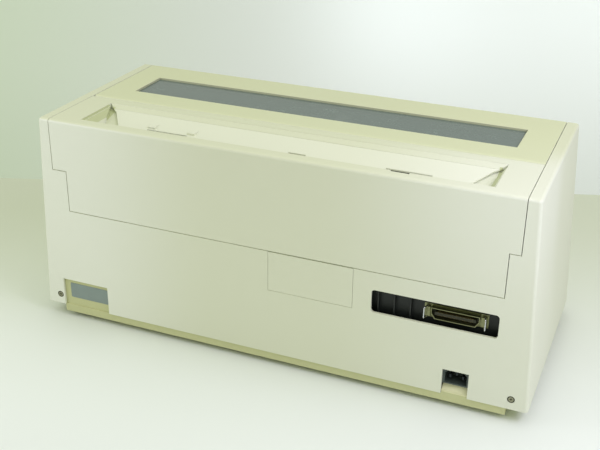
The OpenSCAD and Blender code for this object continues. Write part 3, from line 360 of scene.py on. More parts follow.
def rubbery(name, colour, rough=0.72):
    """Ground rubber: matt, with a fine grit and pale dust"""
    r = Recipe(name, IOR=1.5, Specular_IOR_Level=0.35)
    dust = r.smooth(r.noise(55, 5, 0.65), 0.45, 0.8)
    return r.done(
        r.mix(dust * 0.35, colour, shade(colour, 2.1)), (rough + 0.12 * dust).kept(),
        Normal=r.bump(r.noise(1900, 3, 0.7), 0.35, 0.05 * MM))


def ground_steel(name, colour, rough=0.24, along="x"):
    """Ground bar: grinding marks run round the bar"""
    r = Recipe(name, Metallic=1.0, Anisotropic=0.4)
    marks = r.noise(2600, 3, 0.6, stretch=tuple(1 if axis == along else 0.02 for axis in AXIS))
    haze = r.noise(22, 4, 0.6)
    return r.done(
        r.mix(haze, shade(colour, 0.9), shade(colour, 1.04)),
        (rough + 0.14 * (marks - 0.5) + 0.12 * (haze - 0.5)).kept(0.05, 1),
        Normal=r.bump(marks, 0.12, 0.02 * MM))


def plated_sheet(name, colour, rough=0.4):
    """Zinc-plated sheet with faint spangle"""
    r = Recipe(name, Metallic=1.0)
    grey = r.part(r.add("TexVoronoi", {"Vector": r.place, "Scale": 130}, "Color"), "X")
    haze = r.noise(12, 4, 0.6)
    return r.done(
        r.mix(grey, shade(colour, 0.86), shade(colour, 1.05)),
        (rough + 0.1 * (grey - 0.5) + 0.14 * (haze - 0.5)).kept(0.05, 1),
        Normal=r.bump(r.noise(500, 2), 0.08, 0.03 * MM))


def screw_heads(name, colour, shade_tone):
    """Dull screws with painted shade round the head and in its cross"""
    r = Recipe(name, Metallic=0.8)
    lo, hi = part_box("housing_screws")
    radius = (hi[2] - lo[2]) / 2
    x = r.part(r.place, "X")
    side = (x * x).root() - (hi[0] - radius)
    rise = r.part(r.place, "Z") - (lo[2] + radius)
    out = (side * side + rise * rise).root() / radius
    # Painted shade: a dark ring round the head and a dark centre where the cross is sunk
    painted_shade = r.smooth(out, 0.68, 0.8) + (1 - r.smooth(out, 0.2, 0.32))
    return r.done(
        r.mix((0.8 * painted_shade + 0.2 * r.noise(300, 3)).kept(), colour, shade_tone),
        (0.4 + 0.2 * painted_shade + 0.1 * r.noise(90, 3)).kept(),
        Normal=r.bump(r.noise(600, 2), 0.08, 0.03 * MM))


def coated(name, colour, rough=0.5):
    """Stoved paint with a light orange peel and worn high spots"""
    r = Recipe(name, IOR=1.5)
    peel = r.noise(520, 2, 0.4)
    worn = r.smooth(r.noise(30, 6, 0.7), 0.6, 0.8)
    return r.done(
        r.mix(worn * 0.4, colour, shade(colour, 1.8)), (rough + 0.1 * (peel - 0.5) - 0.08 * worn).kept(),
        Normal=r.bump(peel, 0.18, 0.05 * MM))


def stepper_case(name, steel, dark):
    """Motor: cast ends and a dark laminated middle, told apart by the depth from its face"""
    r = Recipe(name, Metallic=0.85)
    x, y = r.part(r.place, "X"), r.part(r.place, "Y")
    near, far = 8 * MM, 26 * MM
    feed_face = low("side_frame_right")[0] + 12 * MM
    drive_face = high("belt_brackets")[1]
    in_feed = (x > feed_face - far) * (x < feed_face - near)
    in_drive = (y > drive_face + near) * (y < drive_face + far) * (x < 0)
    middle = (in_feed + in_drive).kept()
    layers = r.waves(420, distortion=0.4)
    return r.done(
        r.mix(middle, steel, r.mix(layers, dark, shade(dark, 1.9))),
        (0.42 + 0.16 * middle + 0.1 * r.noise(60, 4)).kept(),
        Normal=r.bump(r.noise(700, 3), 0.1, 0.04 * MM))


def circuit_board(name, green, black):
    """Board: green varnish with tracks, black parts above it"""
    r = Recipe(name, IOR=1.5)
    thick = 1.7 * MM
    above = r.part(r.place, "Z") > low("main_board")[2] + thick
    grid = r.add("TexBrick", {"Vector": r.place, "Scale": 110, "Mortar Size": 0.02}, "Fac", offset=0.5)
    fog = r.noise(90, 3)
    tracks = (grid * (fog > 0.47)).kept()
    varnish = r.mix(tracks, green, shade(green, 1.7))
    return r.done(
        r.mix(above, varnish, black), (0.3 + 0.25 * above + 0.1 * fog).kept(),
        Normal=r.bump(tracks * 0.5 + above * r.noise(900, 2), 0.12, 0.05 * MM))


def wound_core(name, iron, tape):
    """Transformer: a stack of varnished laminations and a taped winding that stands out at both ends"""
    r = Recipe(name, IOR=1.5)
    y, z = r.part(r.place, "Y"), r.part(r.place, "Z")
    lo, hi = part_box("transformer")
    winding, foot = 7.8 * MM, 4 * MM
    ends = ((y < lo[1] + winding) + (y > hi[1] - winding)).kept() * (z > lo[2] + foot)
    layers = r.waves(330, distortion=0.3)
    stack = r.mix(layers, shade(iron, 0.7), shade(iron, 1.3))
    return r.done(
        r.mix(ends, stack, r.mix(r.noise(70, 4), shade(tape, 0.85), tape)),
        (0.5 - 0.1 * ends + 0.12 * r.noise(80, 4)).kept(),
        Metallic=(0.7 * (1 - ends)).kept(), Normal=r.bump(layers * (1 - ends), 0.25, 0.08 * MM))


def foil_label(name, colour):
    """Bare rating label: brushed foil under a worn varnish"""
    r = Recipe(name, Metallic=0.55, Coat_Weight=0.3, Coat_Roughness=0.3)
    brushed = r.noise(900, 3, 0.6, stretch=(0.03, 1, 1))
    cloud = r.noise(70, 4, 0.6)
    return r.done(
        r.mix(cloud, shade(colour, 0.88), shade(colour, 1.12)),
        (0.36 + 0.16 * (brushed - 0.5) + 0.1 * cloud).kept(),
        Normal=r.bump(brushed, 0.08, 0.02 * MM))


def inked_cloth(name, colour):
    """Nylon ribbon: a fine plain weave soaked with ink"""
    r = Recipe(name, Sheen_Weight=0.3, Specular_IOR_Level=0.3)
    weave = r.waves(900) * r.waves(900, "Z")
    return r.done(
        r.mix(weave, shade(colour, 0.7), shade(colour, 1.5)), (0.75 + 0.15 * weave).kept(),
        Normal=r.bump(weave, 0.3, 0.04 * MM))


def glowing_lens(name, colour):
    """Tinted lens of an indicator lamp"""
    r = Recipe(name, IOR=1.5, Transmission_Weight=0.35, Coat_Weight=0.5)
    swirl = r.noise(300, 2)
    return r.done(r.mix(swirl, colour, shade(colour, 1.3)), (0.12 + 0.1 * swirl).kept())


def backdrop_paint(name, near, far, along, start, end):
    """Paper of the floor and the wall: one colour fades into the other along a direction, the far colour a
    painted shade
    """
    r = Recipe(name)
    run = r.add("VectorMath", {0: r.place, 1: along}, "Value", operation="DOT_PRODUCT")
    fade = r.smooth(run + 0.04 * r.noise(3, 3), start, end)
    return r.done(r.mix(fade, near, far), (0.7 + 0.05 * r.noise(40, 3)).kept())


@cache
def finish(name):
    """The finish of that name, made once"""
    own = bpy.context.scene.printer_colours
    cabinet = tuple(own.cabinet)
    # The far colours are painted shade: the floor darker towards the wall, the wall yellower towards +X
    floor, shaded_far_floor = rgb(234, 240, 232), rgb(214, 220, 196)
    wall, shaded_far_wall = rgb(240, 246, 240), rgb(232, 246, 222)
    recipes = {
        # Cabinet, lid, pan and guide get painted light and shade from the functions they name
        "cabinet": (moulded, "cabinet_moulding", cabinet, 0.52, 0.25, 0.04, cabinet_rear, tuple(own.aged)),
        "lid": (moulded, "lid_moulding", cabinet, 0.52, 0.25, 0.04, shaded_opening_walls, tuple(own.lid)),
        "pan": (moulded, "pan_moulding", tuple(own.pan), 0.55, 0.25, 0.04, painted_light_ledge),
        "guide": (moulded, "guide_moulding", tuple(own.guide), 0.42, 0.12, 0.04, painted_light_ends),
        "smoke": (smoked, "smoked_window", tuple(own.smoke)),
        "rubber": (rubbery, "black_rubber", rgb(40, 41, 42)),
        "platen": (rubbery, "platen_rubber", rgb(48, 50, 54), 0.55),
        "dark": (moulded, "dark_moulding", tuple(own.ink), 0.45, 0.3, 0.1),
        "panel": (moulded, "panel_moulding", rgb(98, 101, 99)),
        "key": (moulded, "key_moulding", rgb(222, 221, 204), 0.4, 0.1),
        "lamp": (glowing_lens, "lamp_lens", rgb(70, 170, 85)),
        "lever": (moulded, "lever_moulding", rgb(52, 112, 172), 0.35, 0.1),
        "nylon": (moulded, "nylon_gear", tuple(own.nylon), 0.38, 0.1, 0.06),
        "steel": (ground_steel, "ground_steel", rgb(200, 203, 206)),
        "wire": (ground_steel, "drawn_wire", rgb(212, 214, 216), 0.2, "z"),
        "zinc": (plated_sheet, "zinc_sheet", rgb(178, 182, 184)),
        "screw": (plated_sheet, "dull_screw", rgb(205, 203, 188)),
        # Housing screws with painted shade round their heads and in their crosses
        "dirty_screw": (screw_heads, "dirty_screw", rgb(172, 172, 146), rgb(62, 62, 48)),
        "black_sheet": (coated, "black_sheet", rgb(24, 29, 26)),
        "motor": (stepper_case, "motor_case", rgb(150, 153, 156), rgb(58, 59, 60)),
        "casting": (coated, "head_casting", rgb(66, 69, 72), 0.42),
        "shell": (plated_sheet, "socket_shell_plating", rgb(142, 144, 108), 0.38),
        "socket": (moulded, "socket_moulding", rgb(46, 46, 28), 0.5, 0.15),
        "brass": (ground_steel, "turned_brass", rgb(222, 196, 130), 0.28),
        "gold": (ground_steel, "contact_gold", rgb(232, 200, 120), 0.22, "y"),
        "plated": (ground_steel, "plated_pin", rgb(198, 200, 198), 0.2, "y"),
        # Inlet pins painted dark as painted shade of the inlet's hollow
        "blade": (ground_steel, "dull_blade", rgb(58, 63, 64), 0.35, "y"),
        "inlet": (moulded, "inlet_moulding", rgb(70, 80, 75), 0.45, 0.15),
        "board": (circuit_board, "circuit_board", rgb(52, 108, 62), rgb(34, 35, 36)),
        "sleeve": (moulded, "capacitor_sleeve", rgb(56, 70, 104), 0.3, 0.06),
        "core": (wound_core, "wound_core", rgb(98, 92, 84), rgb(206, 176, 92)),
        "label": (foil_label, "bare_label", rgb(138, 151, 148)),
        "cloth": (inked_cloth, "inked_ribbon", rgb(28, 28, 34)),
        "floor": (backdrop_paint, "floor_paper", floor, shaded_far_floor, BEHIND, -0.3, 0.36),
        "wall": (backdrop_paint, "wall_paper", wall, shaded_far_wall, BESIDE, 0.1, 0.9),
    }
    recipe, *values = recipes[name]
    return recipe(*values)


# Mesh making


def linked(name, data):
    """A new object in the scene"""
    obj = bpy.data.objects.new(name, data)
    bpy.context.scene.collection.objects.link(obj)
    return obj


def with_look(mesh, look):
    """The mesh with one finish"""
    mesh.materials.clear()
    mesh.materials.append(finish(look))
    return mesh


def new_piece(name, mesh, look, body, replaced=()):
    """Links a finished mesh as a piece that rides on a body; without a look it keeps the finishes it has"""
    mesh.name = name
    obj = linked(name, with_look(mesh, look) if look else mesh)
    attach(obj, body)
    if replaced:
        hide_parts(*replaced)
    return obj


def evaluated(obj):
    """The mesh that an object's modifiers make; the object itself is removed"""
    bpy.context.view_layer.update()
    graph = bpy.context.evaluated_depsgraph_get()
    mesh = bpy.data.meshes.new_from_object(obj.evaluated_get(graph))
    old = obj.data
    bpy.data.objects.remove(obj)
    bpy.data.meshes.remove(old)
    return mesh


def softened(mesh, width, segments=2):
    """Rounds a mesh's sharp edges and shades the rest smooth"""
    mesh.shade_smooth()
    if width > 0:
        obj = linked("softening", mesh)
        bevel = obj.modifiers.new("edge", "BEVEL")
        bevel.width = width
        bevel.segments = segments
        bevel.limit_method = "ANGLE"
        bevel.angle_limit = SHARP_ANGLE
        bevel.use_clamp_overlap = True
        bevel.miter_outer = "MITER_ARC"
        weighted = obj.modifiers.new("normals", "WEIGHTED_NORMAL")
        weighted.keep_sharp = True
        return evaluated(obj)
    mesh.set_sharp_from_angle(angle=SHARP_ANGLE)
    return mesh


def merged(node):
    """A copy of a CAD node's mesh with its doubles merged and its flat faces joined"""
    bm = bmesh.new()
    bm.from_mesh(NODES[node].data)
    bmesh.ops.remove_doubles(bm, verts=bm.verts, dist=SAME_PLACE)
    bmesh.ops.dissolve_limit(bm, angle_limit=FLAT_ANGLE, verts=bm.verts, edges=bm.edges)
    mesh = bpy.data.meshes.new(node)
    bm.to_mesh(mesh)
    bm.free()
    return mesh


def dress(look, slot, width, *nodes, segments=2):
    """Stands smoother copies of CAD nodes in their places"""
    for node in nodes:
        mesh = softened(merged(node), width, segments)
        new_piece(node + "_finished", mesh, look, body_of(node), (node,))


def paint(look, *nodes):
    """Gives CAD nodes a finish and leaves their shape"""
    for node in nodes:
        obj = NODES[node]
        if not obj.material_slots:
            obj.data.materials.append(None)
        for place in obj.material_slots:
            place.material = finish(look)


def from_bmesh(bm, width=0.0):
    bmesh.ops.recalc_face_normals(bm, faces=bm.faces)
    mesh = bpy.data.meshes.new("made")
    bm.to_mesh(mesh)
    bm.free()
    return softened(mesh, width)


def circle(bm, centre, radius, across, side, count):
    """A ring of vertices round a centre; at radius 0 a single one"""
    count = count if radius else 1
    turns = [2 * math.pi * i / count for i in range(count)]
    return [bm.verts.new(centre + (across * math.cos(a) + side * math.sin(a)) * radius) for a in turns]


def skin(bm, rings):
    """Closes a run of rings of vertices into a solid; a ring of one vertex is a tip"""
    sides = max(len(ring) for ring in rings)
    for first, second in zip(rings, rings[1:]):
        for i in range(sides):
            j = (i + 1) % sides
            loop = [ring[n % len(ring)] for ring, n in ((first, i), (first, j), (second, j), (second, i))]
            corners = [v for n, v in enumerate(loop) if v not in loop[:n]]
            bm.faces.new(corners)
    for end in (rings[0][::-1], rings[-1]):
        if len(end) > 1:
            bm.faces.new(end)


def turned(bm, profile, centre, axis, sides):
    """A turned form; profile holds (distance along the axis, radius) and has radius 0 at both ends"""
    along = AXIS[axis]
    across = AXIS["z"] if axis != "z" else AXIS["x"]
    side = along.cross(across)
    skin(bm, [circle(bm, centre + along * at, radius, across, side, sides) for at, radius in profile])


def bent_wire(node, radius, bend, out, hook=3 * MM, steps=6, sides=12):
    """A bail bent from round wire in the place of a CAD node, its bar standing away from the pivots"""
    lo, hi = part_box(node)
    near, far = lo[0] + radius, hi[0] - radius
    foot = Vector((near if out > 0 else far, lo[1] + radius, 0))
    tip = Vector((far if out > 0 else near, hi[1] - radius, 0))
    reach = (tip - foot).length
    along = (tip - foot).normalized()
    bottom, top = lo[2] + radius, hi[2] - radius
    flat = ((0, bottom + hook), (0, bottom), (reach, bottom), (reach, top), (0, top), (0, top - hook))
    corners = [Vector(corner) for corner in flat]
    path = [corners[0]]
    for before, corner, after in zip(corners, corners[1:], corners[2:]):
        into = (before - corner).normalized()
        away = (after - corner).normalized()
        centre = corner + (into + away) * bend
        for i in range(steps + 1):
            a = math.radians(90 * i / steps)
            path.append(centre - away * bend * math.cos(a) - into * bend * math.sin(a))
    path.append(corners[-1])
    side = along.cross(AXIS["z"])
    bm = bmesh.new()
    rings = []
    for i, point in enumerate(path):
        run = path[min(i + 1, len(path) - 1)] - path[max(i - 1, 0)]
        run = (along * run[0] + AXIS["z"] * run[1]).normalized()
        at = foot + along * point[0] + AXIS["z"] * point[1]
        rings.append(circle(bm, at, radius, side, side.cross(run), sides))
    skin(bm, rings)
    return from_bmesh(bm)


def rounded_outline(width, height, radius, steps=6):
    points = []
    for sx, sy, start in ((1, 1, 0), (-1, 1, 90), (-1, -1, 180), (1, -1, 270)):
        x, y = sx * (width / 2 - radius), sy * (height / 2 - radius)
        for i in range(steps + 1):
            a = math.radians(start + 90 * i / steps)
            points.append((x + radius * math.cos(a), y + radius * math.sin(a)))
    return points


def joined(meshes):
    """Several meshes as one, each with its own finish"""
    bm = bmesh.new()
    looks = []
    for mesh in meshes:
        start = len(bm.faces)
        bm.from_mesh(mesh)
        bm.faces.ensure_lookup_table()
        look = mesh.materials[0]
        if look not in looks:
            looks.append(look)
        for face in bm.faces[start:]:
            face.material_index = looks.index(look)
    result = bpy.data.meshes.new("joined")
    bm.to_mesh(result)
    bm.free()
    for look in looks:
        result.materials.append(look)
    return result


# Geometry node trees


class Growth:
    """A geometry node tree with named inputs"""

    def __init__(self, name, **inputs):
        self.tree = bpy.data.node_groups.new(name, "GeometryNodeTree")
        self.socket("Geometry", "Geometry", "OUTPUT")
        self.socket("Geometry", "Geometry")
        for label, kind in inputs.items():
            self.socket(label.replace("_", " "), kind)
        self.socket("Finish", "Material")
        self.given = self.tree.nodes.new("NodeGroupInput").outputs
        self.result = self.tree.nodes.new("NodeGroupOutput")

    def socket(self, label, kind, way="INPUT"):
        self.tree.interface.new_socket(name=label, in_out=way, socket_type="NodeSocket" + kind)

    def add(self, kind, sockets, out=0, family="GeometryNode", **settings):
        node = self.tree.nodes.new(family + kind)
        for key, value in settings.items():
            setattr(node, key, value)
        for key, value in sockets.items():
            if isinstance(value, bpy.types.NodeSocket):
                self.tree.links.new(value, node.inputs[key])
            else:
                node.inputs[key].default_value = value
        return node.outputs[out]

    def maths(self, operation, first, second):
        return self.add("Math", {0: first, 1: second}, family="ShaderNode", operation=operation)

    def placed(self, geometry):
        """Turned and moved as the tree's inputs say"""
        return self.add("Transform", {
            "Geometry": geometry, "Rotation": self.given["Turn"], "Translation": self.given["Centre"]})

    def close(self, geometry):
        """Ends the tree: instances made real, and the finish set"""
        real = self.add("RealizeInstances", {0: geometry})
        done = self.add("SetMaterial", {"Geometry": real, "Material": self.given["Finish"]})
        self.tree.links.new(done, self.result.inputs[0])
        return self.tree


@cache
def grid_tree():
    """A block repeated in a row, and the row repeated in a second direction"""
    g = Growth(
        "block_grid", Count="Int", Step="Vector", Rows="Int", Row_step="Vector", Start="Vector",
        Block="Vector")
    given = g.given
    start = given["Start"]
    row = g.add("MeshLine", {"Count": given["Count"], "Start Location": start, "Offset": given["Step"]})
    rows = g.add("MeshLine", {"Count": given["Rows"], "Offset": given["Row step"]})
    places = g.add("RealizeInstances", {0: g.add("InstanceOnPoints", {"Points": rows, "Instance": row})})
    one = g.add("MeshCube", {"Size": given["Block"]})
    return g.close(g.add("InstanceOnPoints", {"Points": places, "Instance": one}))


@cache
def ring_tree():
    """A pin repeated round a circle, its length along the circle's axis, the whole turned and moved"""
    g = Growth(
        "pin_ring", Count="Int", Radius="Float", Pin_radius="Float", Pin_length="Float", Turn="Rotation",
        Centre="Vector")
    given = g.given
    ring = g.add("MeshCircle", {"Vertices": given["Count"], "Radius": given["Radius"]})
    pin = g.add("MeshCylinder", {"Vertices": 12, "Radius": given["Pin radius"], "Depth": given["Pin length"]})
    return g.close(g.placed(g.add("InstanceOnPoints", {"Points": ring, "Instance": pin})))


@cache
def belt_tree():
    """A flat loop round two pulleys, with teeth on its inside"""
    g = Growth(
        "toothed_belt", Span="Float", Radius="Float", Band="Float", Width="Float", Pitch="Float",
        Tooth="Vector", Centre="Vector", Turn="Rotation")
    given = g.given

    def loop(radius):
        """A loop at that distance from the pulleys' axes"""
        across = g.maths("MULTIPLY", radius, 2.0)
        total = g.maths("ADD", given["Span"], across)
        box = g.add("CurvePrimitiveQuadrilateral", {"Width": total, "Height": across})
        return g.add(
            "FilletCurve", {"Curve": box, "Count": 16, "Radius": radius, "Limit Radius": True}, mode="POLY")

    section = g.add("CurvePrimitiveQuadrilateral", {"Width": given["Band"], "Height": given["Width"]})
    band = g.add("CurveToMesh", {"Curve": loop(given["Radius"]), "Profile Curve": section})
    inner = loop(g.maths("SUBTRACT", given["Radius"], given["Band"]))
    points = g.add("CurveToPoints", {"Curve": inner, "Length": given["Pitch"]}, "Points", mode="LENGTH")
    tooth = g.add("MeshCube", {"Size": given["Tooth"]})
    turn = points.node.outputs["Rotation"]
    teeth = g.add("InstanceOnPoints", {"Points": points, "Instance": tooth, "Rotation": turn})
    both = g.add("JoinGeometry", {0: band})
    g.tree.links.new(teeth, both.node.inputs[0])
    return g.close(g.placed(both))


@cache
def screw_tree():
    """A slotted cheese-head screw on every vertex of the mesh that carries the tree"""
    g = Growth("screw_heads", Radius="Float", Height="Float", Turn="Rotation")
    given = g.given
    slot = (20 * MM, 0.8 * MM, 1.0 * MM)
    head = g.add("MeshCylinder", {"Vertices": 20, "Radius": given["Radius"], "Depth": given["Height"]})
    lift = g.add("CombineXYZ", {2: g.maths("MULTIPLY", given["Height"], 0.5)}, family="ShaderNode")
    cutter = g.add("Transform", {"Geometry": g.add("MeshCube", {"Size": slot}), "Translation": lift})
    cut = g.add("MeshBoolean", {0: head, 1: cutter}, operation="DIFFERENCE")
    return g.close(g.add(
        "InstanceOnPoints", {"Points": given["Geometry"], "Instance": cut, "Rotation": given["Turn"]}))


def grown(tree, look, points=(), **values):
    """The plain mesh that a tree makes with these inputs"""
    mesh = bpy.data.meshes.new("grown")
    mesh.from_pydata([tuple(p) for p in points], [], [])
    obj = linked("grown", mesh)
    modifier = obj.modifiers.new("growth", "NODES")
    modifier.node_group = tree()
    values["finish"] = finish(look)
    for item in modifier.node_group.interface.items_tree:
        key = item.name.lower().replace(" ", "_")
        if item.in_out == "INPUT" and key in values:
            modifier[item.identifier] = values[key]
    return evaluated(obj)


def grid(look, block, start, count, step, rows=1, row_step=(0, 0, 0)):
    """Blocks in one row or more"""
    return grown(
        grid_tree, look, block=block, start=start, count=count, step=step, rows=rows, row_step=row_step)


# Operators


class Maker:
    """What every operator of this file shares"""

    bl_options = {"REGISTER", "UNDO"}

    def execute(self, context):
        self.make(context.scene.printer_sizes)
        return {"FINISHED"}


class PRINTER_OT_camera(Maker, bpy.types.Operator):
    """Puts the camera where the photograph was taken from"""

    bl_idname = "printer.camera"
    bl_label = "Camera"

    def make(self, sizes):
        data = bpy.data.cameras.new("camera")
        data.sensor_width = SENSOR_WIDTH
        data.sensor_fit = "HORIZONTAL"
        data.lens = FOCAL_LENGTH
        data.clip_start = CLIP_START
        data.clip_end = CLIP_END
        turn = Matrix((CAMERA_RIGHT, CAMERA_RIGHT.cross(CAMERA_AHEAD), -CAMERA_AHEAD)).transposed()
        camera = linked("camera", data)
        camera.matrix_world = Matrix.Translation(CAMERA_PLACE) @ turn.to_4x4()
        bpy.context.scene.camera = camera


class PRINTER_OT_stage(Maker, bpy.types.Operator):
    """Lays the floor and the wall and lights them"""

    bl_idname = "printer.stage"
    bl_label = "Stage"

    def make(self, sizes):
        reach, wall_gap = 6.0, 0.6
        rise, drop = Vector((0, 0, 0.45)), Vector((0, 0, 0.5))
        edge = Vector((0.168, -0.362, 0))
        wall = edge + BEHIND * wall_gap
        along, away = BESIDE * reach, BEHIND * reach
        sheets = {
            "floor": (edge + along, edge - along, edge - along - away, edge + along - away),
            "wall": (wall - along - drop, wall + along - drop, wall + along + rise, wall - along + rise),
        }
        for name, corners in sheets.items():
            mesh = bpy.data.meshes.new(name)
            mesh.from_pydata([tuple(c) for c in corners], [], [(0, 1, 2, 3)])
            obj = linked(name, with_look(mesh, name))
        world = bpy.data.worlds.new("studio")
        bpy.context.scene.world = world
        world.use_nodes = True
        background = world.node_tree.nodes["Background"].inputs
        background["Color"].default_value = (0.97, 1.0, 0.87, 1)
        background["Strength"].default_value = 0.6
        # Each light: its name, place, target, size, power and colour
        lights = (
            ("key", (-1.0, 0.2, 1.15), (-0.3, 0, 0.2), 0.6, 4.7, (0.76, 0.68, 1.0)),
            ("top", (0.1, -0.2, 2.1), (0, 0, 0.2), 1.6, 5.5, (0.98, 1.0, 0.93)),
            ("left", (0.62, 0.48, 0.5), (0.27, 0.13, 0.18), 0.35, 1.15, (0.94, 0.93, 1.0)),
            ("right", (-0.6, 0.42, 0.62), (-0.3, 0.13, 0.2), 0.35, 1.7, (0.88, 0.85, 1.0)),
            ("wash", (-0.5, -0.74, 0.28), (-0.4, -1.65, 0.1), 0.4, 1.05, (0.86, 0.86, 1.0)),
            ("glow", (0.1, -0.74, 0.17), (0.1, -1.65, 0.17), 0.3, 0.33, (0.84, 0.84, 1.0)),
        )
        for name, place, target, size, power, colour in lights:
            data = bpy.data.lights.new(name, "AREA")
            data.shape = "SQUARE"
            data.size = size
            data.energy = power
            data.color = colour
            lamp = linked(name, data)
            lamp.location = place
            lamp.rotation_euler = (Vector(target) - Vector(place)).to_track_quat("-Z", "Y").to_euler()
        bpy.context.scene.view_settings.view_transform = "Standard"


class PRINTER_OT_cabinet(Maker, bpy.types.Operator):
    """Finishes the housing, the covers, the guide plate and the base pan"""

    bl_idname = "printer.cabinet"
    bl_label = "Cabinet"

    def make(self, sizes):
        dress("cabinet", "cabinet", sizes.cover_edge, "housing", "rear_cover", "option_cover")
        dress("lid", "cabinet", sizes.cover_edge, "top_cover")
        dress("pan", "pan", sizes.cover_edge, "base_pan")
        dress("guide", "guide", sizes.small_edge, "guide_plate")
        dress("rubber", "rubber", sizes.cover_edge * SOFT, "rubber_feet", segments=3)
        paint("dirty_screw", "housing_screws")
        paint("steel", "hinge_pins")


class PRINTER_OT_window(Maker, bpy.types.Operator):
    """Finishes the smoked window"""

    bl_idname = "printer.window"
    bl_label = "Window"

    def make(self, sizes):
        dress("smoke", "smoke", sizes.small_edge, "window")


class PRINTER_OT_rating_plate(Maker, bpy.types.Operator):
    """Lays the bare rating label on the raised wall of the base pan"""

    bl_idname = "printer.rating_plate"
    bl_label = "Rating label"

    def make(self, sizes):
        width, height, corner = 53 * MM, 20 * MM, 1.6 * MM
        thick, edge = 0.35 * MM, 0.1 * MM
        inset, gap = 3.3 * MM, 0.02 * MM
        outline = rounded_outline(width, height, corner)
        centre = Vector((240.5 * MM, high("housing")[1] - inset + gap, 37.5 * MM))
        bm = bmesh.new()
        skin(bm, [[bm.verts.new(centre + Vector((x, y, z))) for x, z in outline] for y in (0, thick)])
        new_piece("rating_label", from_bmesh(bm, edge), "label", "chassis")


class PRINTER_OT_sockets(Maker, bpy.types.Operator):
    """Finishes the interface socket, its bails, its plate and the mains inlet"""

    bl_idname = "printer.sockets"
    bl_label = "Sockets"

    def make(self, sizes):
        dress("shell", "socket_metal", sizes.metal_edge, "socket_shell")
        dress("inlet", "dark_plastic", sizes.small_edge, "ac_inlet")
        dress("black_sheet", "black_metal", sizes.metal_edge, "interface_plate")
        dress("socket", "socket_body", sizes.metal_edge, "socket_insert")
        for side, out in (("left", 1), ("right", -1)):
            node = "socket_bail_" + side
            wire = bent_wire(node, sizes.wire, sizes.wire_bend, out)
            new_piece(node + "_wire", wire, "wire", body_of(node), (node,))
        paint("blade", "inlet_pins")
        reach = sizes.contact_pitch * (sizes.contacts - 1)
        middle = centre_of("socket_insert")[0]
        height, tongue, inset, gap = 110.5 * MM, 3.4 * MM, 2.4 * MM, 0.05 * MM
        start = (middle - reach / 2, high("socket_insert")[1] - inset, height - tongue / 2 - gap)
        contact, step = (1.1 * MM, 4.2 * MM, 0.3 * MM), (sizes.contact_pitch, 0, 0)
        rows = grid("gold", contact, start, sizes.contacts, step, 2, (0, 0, tongue + 2 * gap))
        new_piece("socket_contacts", rows, None, "chassis")


class PRINTER_OT_chassis(Maker, bpy.types.Operator):
    """Finishes the frames, rails, shafts and their screws"""

    bl_idname = "printer.chassis"
    bl_label = "Chassis"

    def make(self, sizes):
        edge = sizes.metal_edge
        frames = ("side_frame_left", "side_frame_right", "rear_tie", "front_rail", "belt_brackets")
        dress("zinc", "zinc", edge, *frames)
        dress("steel", "steel", edge, "guide_shafts")
        dress("nylon", "nylon", edge, "platen_bushes")
        dress("steel", "steel", edge, "idler_post")
        dress("black_sheet", "black_metal", edge, "paper_pan")
        head, stands_out = 1.8 * MM, 0.7 * MM
        side = high("side_frame_right")[0] + stands_out
        rear, front = low("rear_tie")[1] + 7 * MM, low("front_rail")[1] + 4 * MM
        places = ((rear, 60 * MM), (rear, 78 * MM), (front, 120 * MM), (front, 131 * MM))
        heads = []
        for sign in (-1, 1):
            points = [(sign * side, y, z) for y, z in places]
            turn = (0, math.radians(sign * 90), 0)
            heads.append(grown(screw_tree, "screw", points, radius=sizes.screw_head, height=head, turn=turn))
        new_piece("frame_screws", softened(joined(heads), 0), None, "chassis")


class PRINTER_OT_platen(Maker, bpy.types.Operator):
    """Finishes the platen, its gears and the ribbed knob"""

    bl_idname = "printer.platen"
    bl_label = "Platen and gears"

    def make(self, sizes):
        dress("platen", "rubber", sizes.cover_edge, "platen_roller")
        dress("steel", "steel", sizes.cover_edge, "platen_shaft")
        dress("nylon", "nylon", 0, "platen_gear", "idler_gear", "tractor_gear")
        dress("brass", "brass", 0, "feed_pinion")
        lo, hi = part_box("platen_knob")
        y, z = centre_of("platen_knob")[1:]
        x, long = lo[0], hi[0] - lo[0]
        rib, dish = 0.75 * MM, 1.5 * MM
        first, last = 1 * MM, long - 3.5 * MM
        grip = (hi[2] - lo[2]) / 2 - 1.3 * MM
        profile = (
            (0, 0), (0, grip - 1 * MM), (1 * MM, grip), (long - 2.4 * MM, grip),
            (long - 1 * MM, grip - 0.6 * MM), (long, grip - 2.6 * MM), (long, grip - 4.5 * MM),
            (long - dish, grip - 6 * MM), (long - dish, 0))
        bm = bmesh.new()
        turned(bm, profile, Vector((x, y, z)), "x", 72)
        ribs = grown(
            ring_tree, "dark", count=sizes.knob_ribs, radius=grip, pin_radius=rib, pin_length=last - first,
            turn=(0, math.radians(90), 0), centre=(x + (first + last) / 2, y, z))
        body = with_look(from_bmesh(bm), "dark")
        knob = softened(joined([body, ribs]), 0)
        new_piece("ribbed_knob", knob, None, "platen", ("platen_knob",))


class PRINTER_OT_tractors(Maker, bpy.types.Operator):
    """Finishes the pin-feed tractors and their shafts"""

    bl_idname = "printer.tractors"
    bl_label = "Tractors"

    def make(self, sizes):
        dress("steel", "steel", sizes.small_edge, "tractor_shaft")
        for side in ("left", "right"):
            dress("dark", "dark_plastic", sizes.small_edge, "tractor_" + side)
            dress("nylon", "nylon", sizes.metal_edge, "pin_wheel_" + side)
            dress("panel", "panel_grey", sizes.small_edge, "tractor_lid_" + side)


class PRINTER_OT_bail(Maker, bpy.types.Operator):
    """Finishes the paper bail, its rollers and the release lever"""

    bl_idname = "printer.bail"
    bl_label = "Bail and lever"

    def make(self, sizes):
        dress("steel", "steel", sizes.metal_edge, "paper_bail")
        dress("rubber", "rubber", sizes.small_edge, "bail_rollers")
        dress("lever", "lever_blue", sizes.small_edge * SOFT, "release_lever")


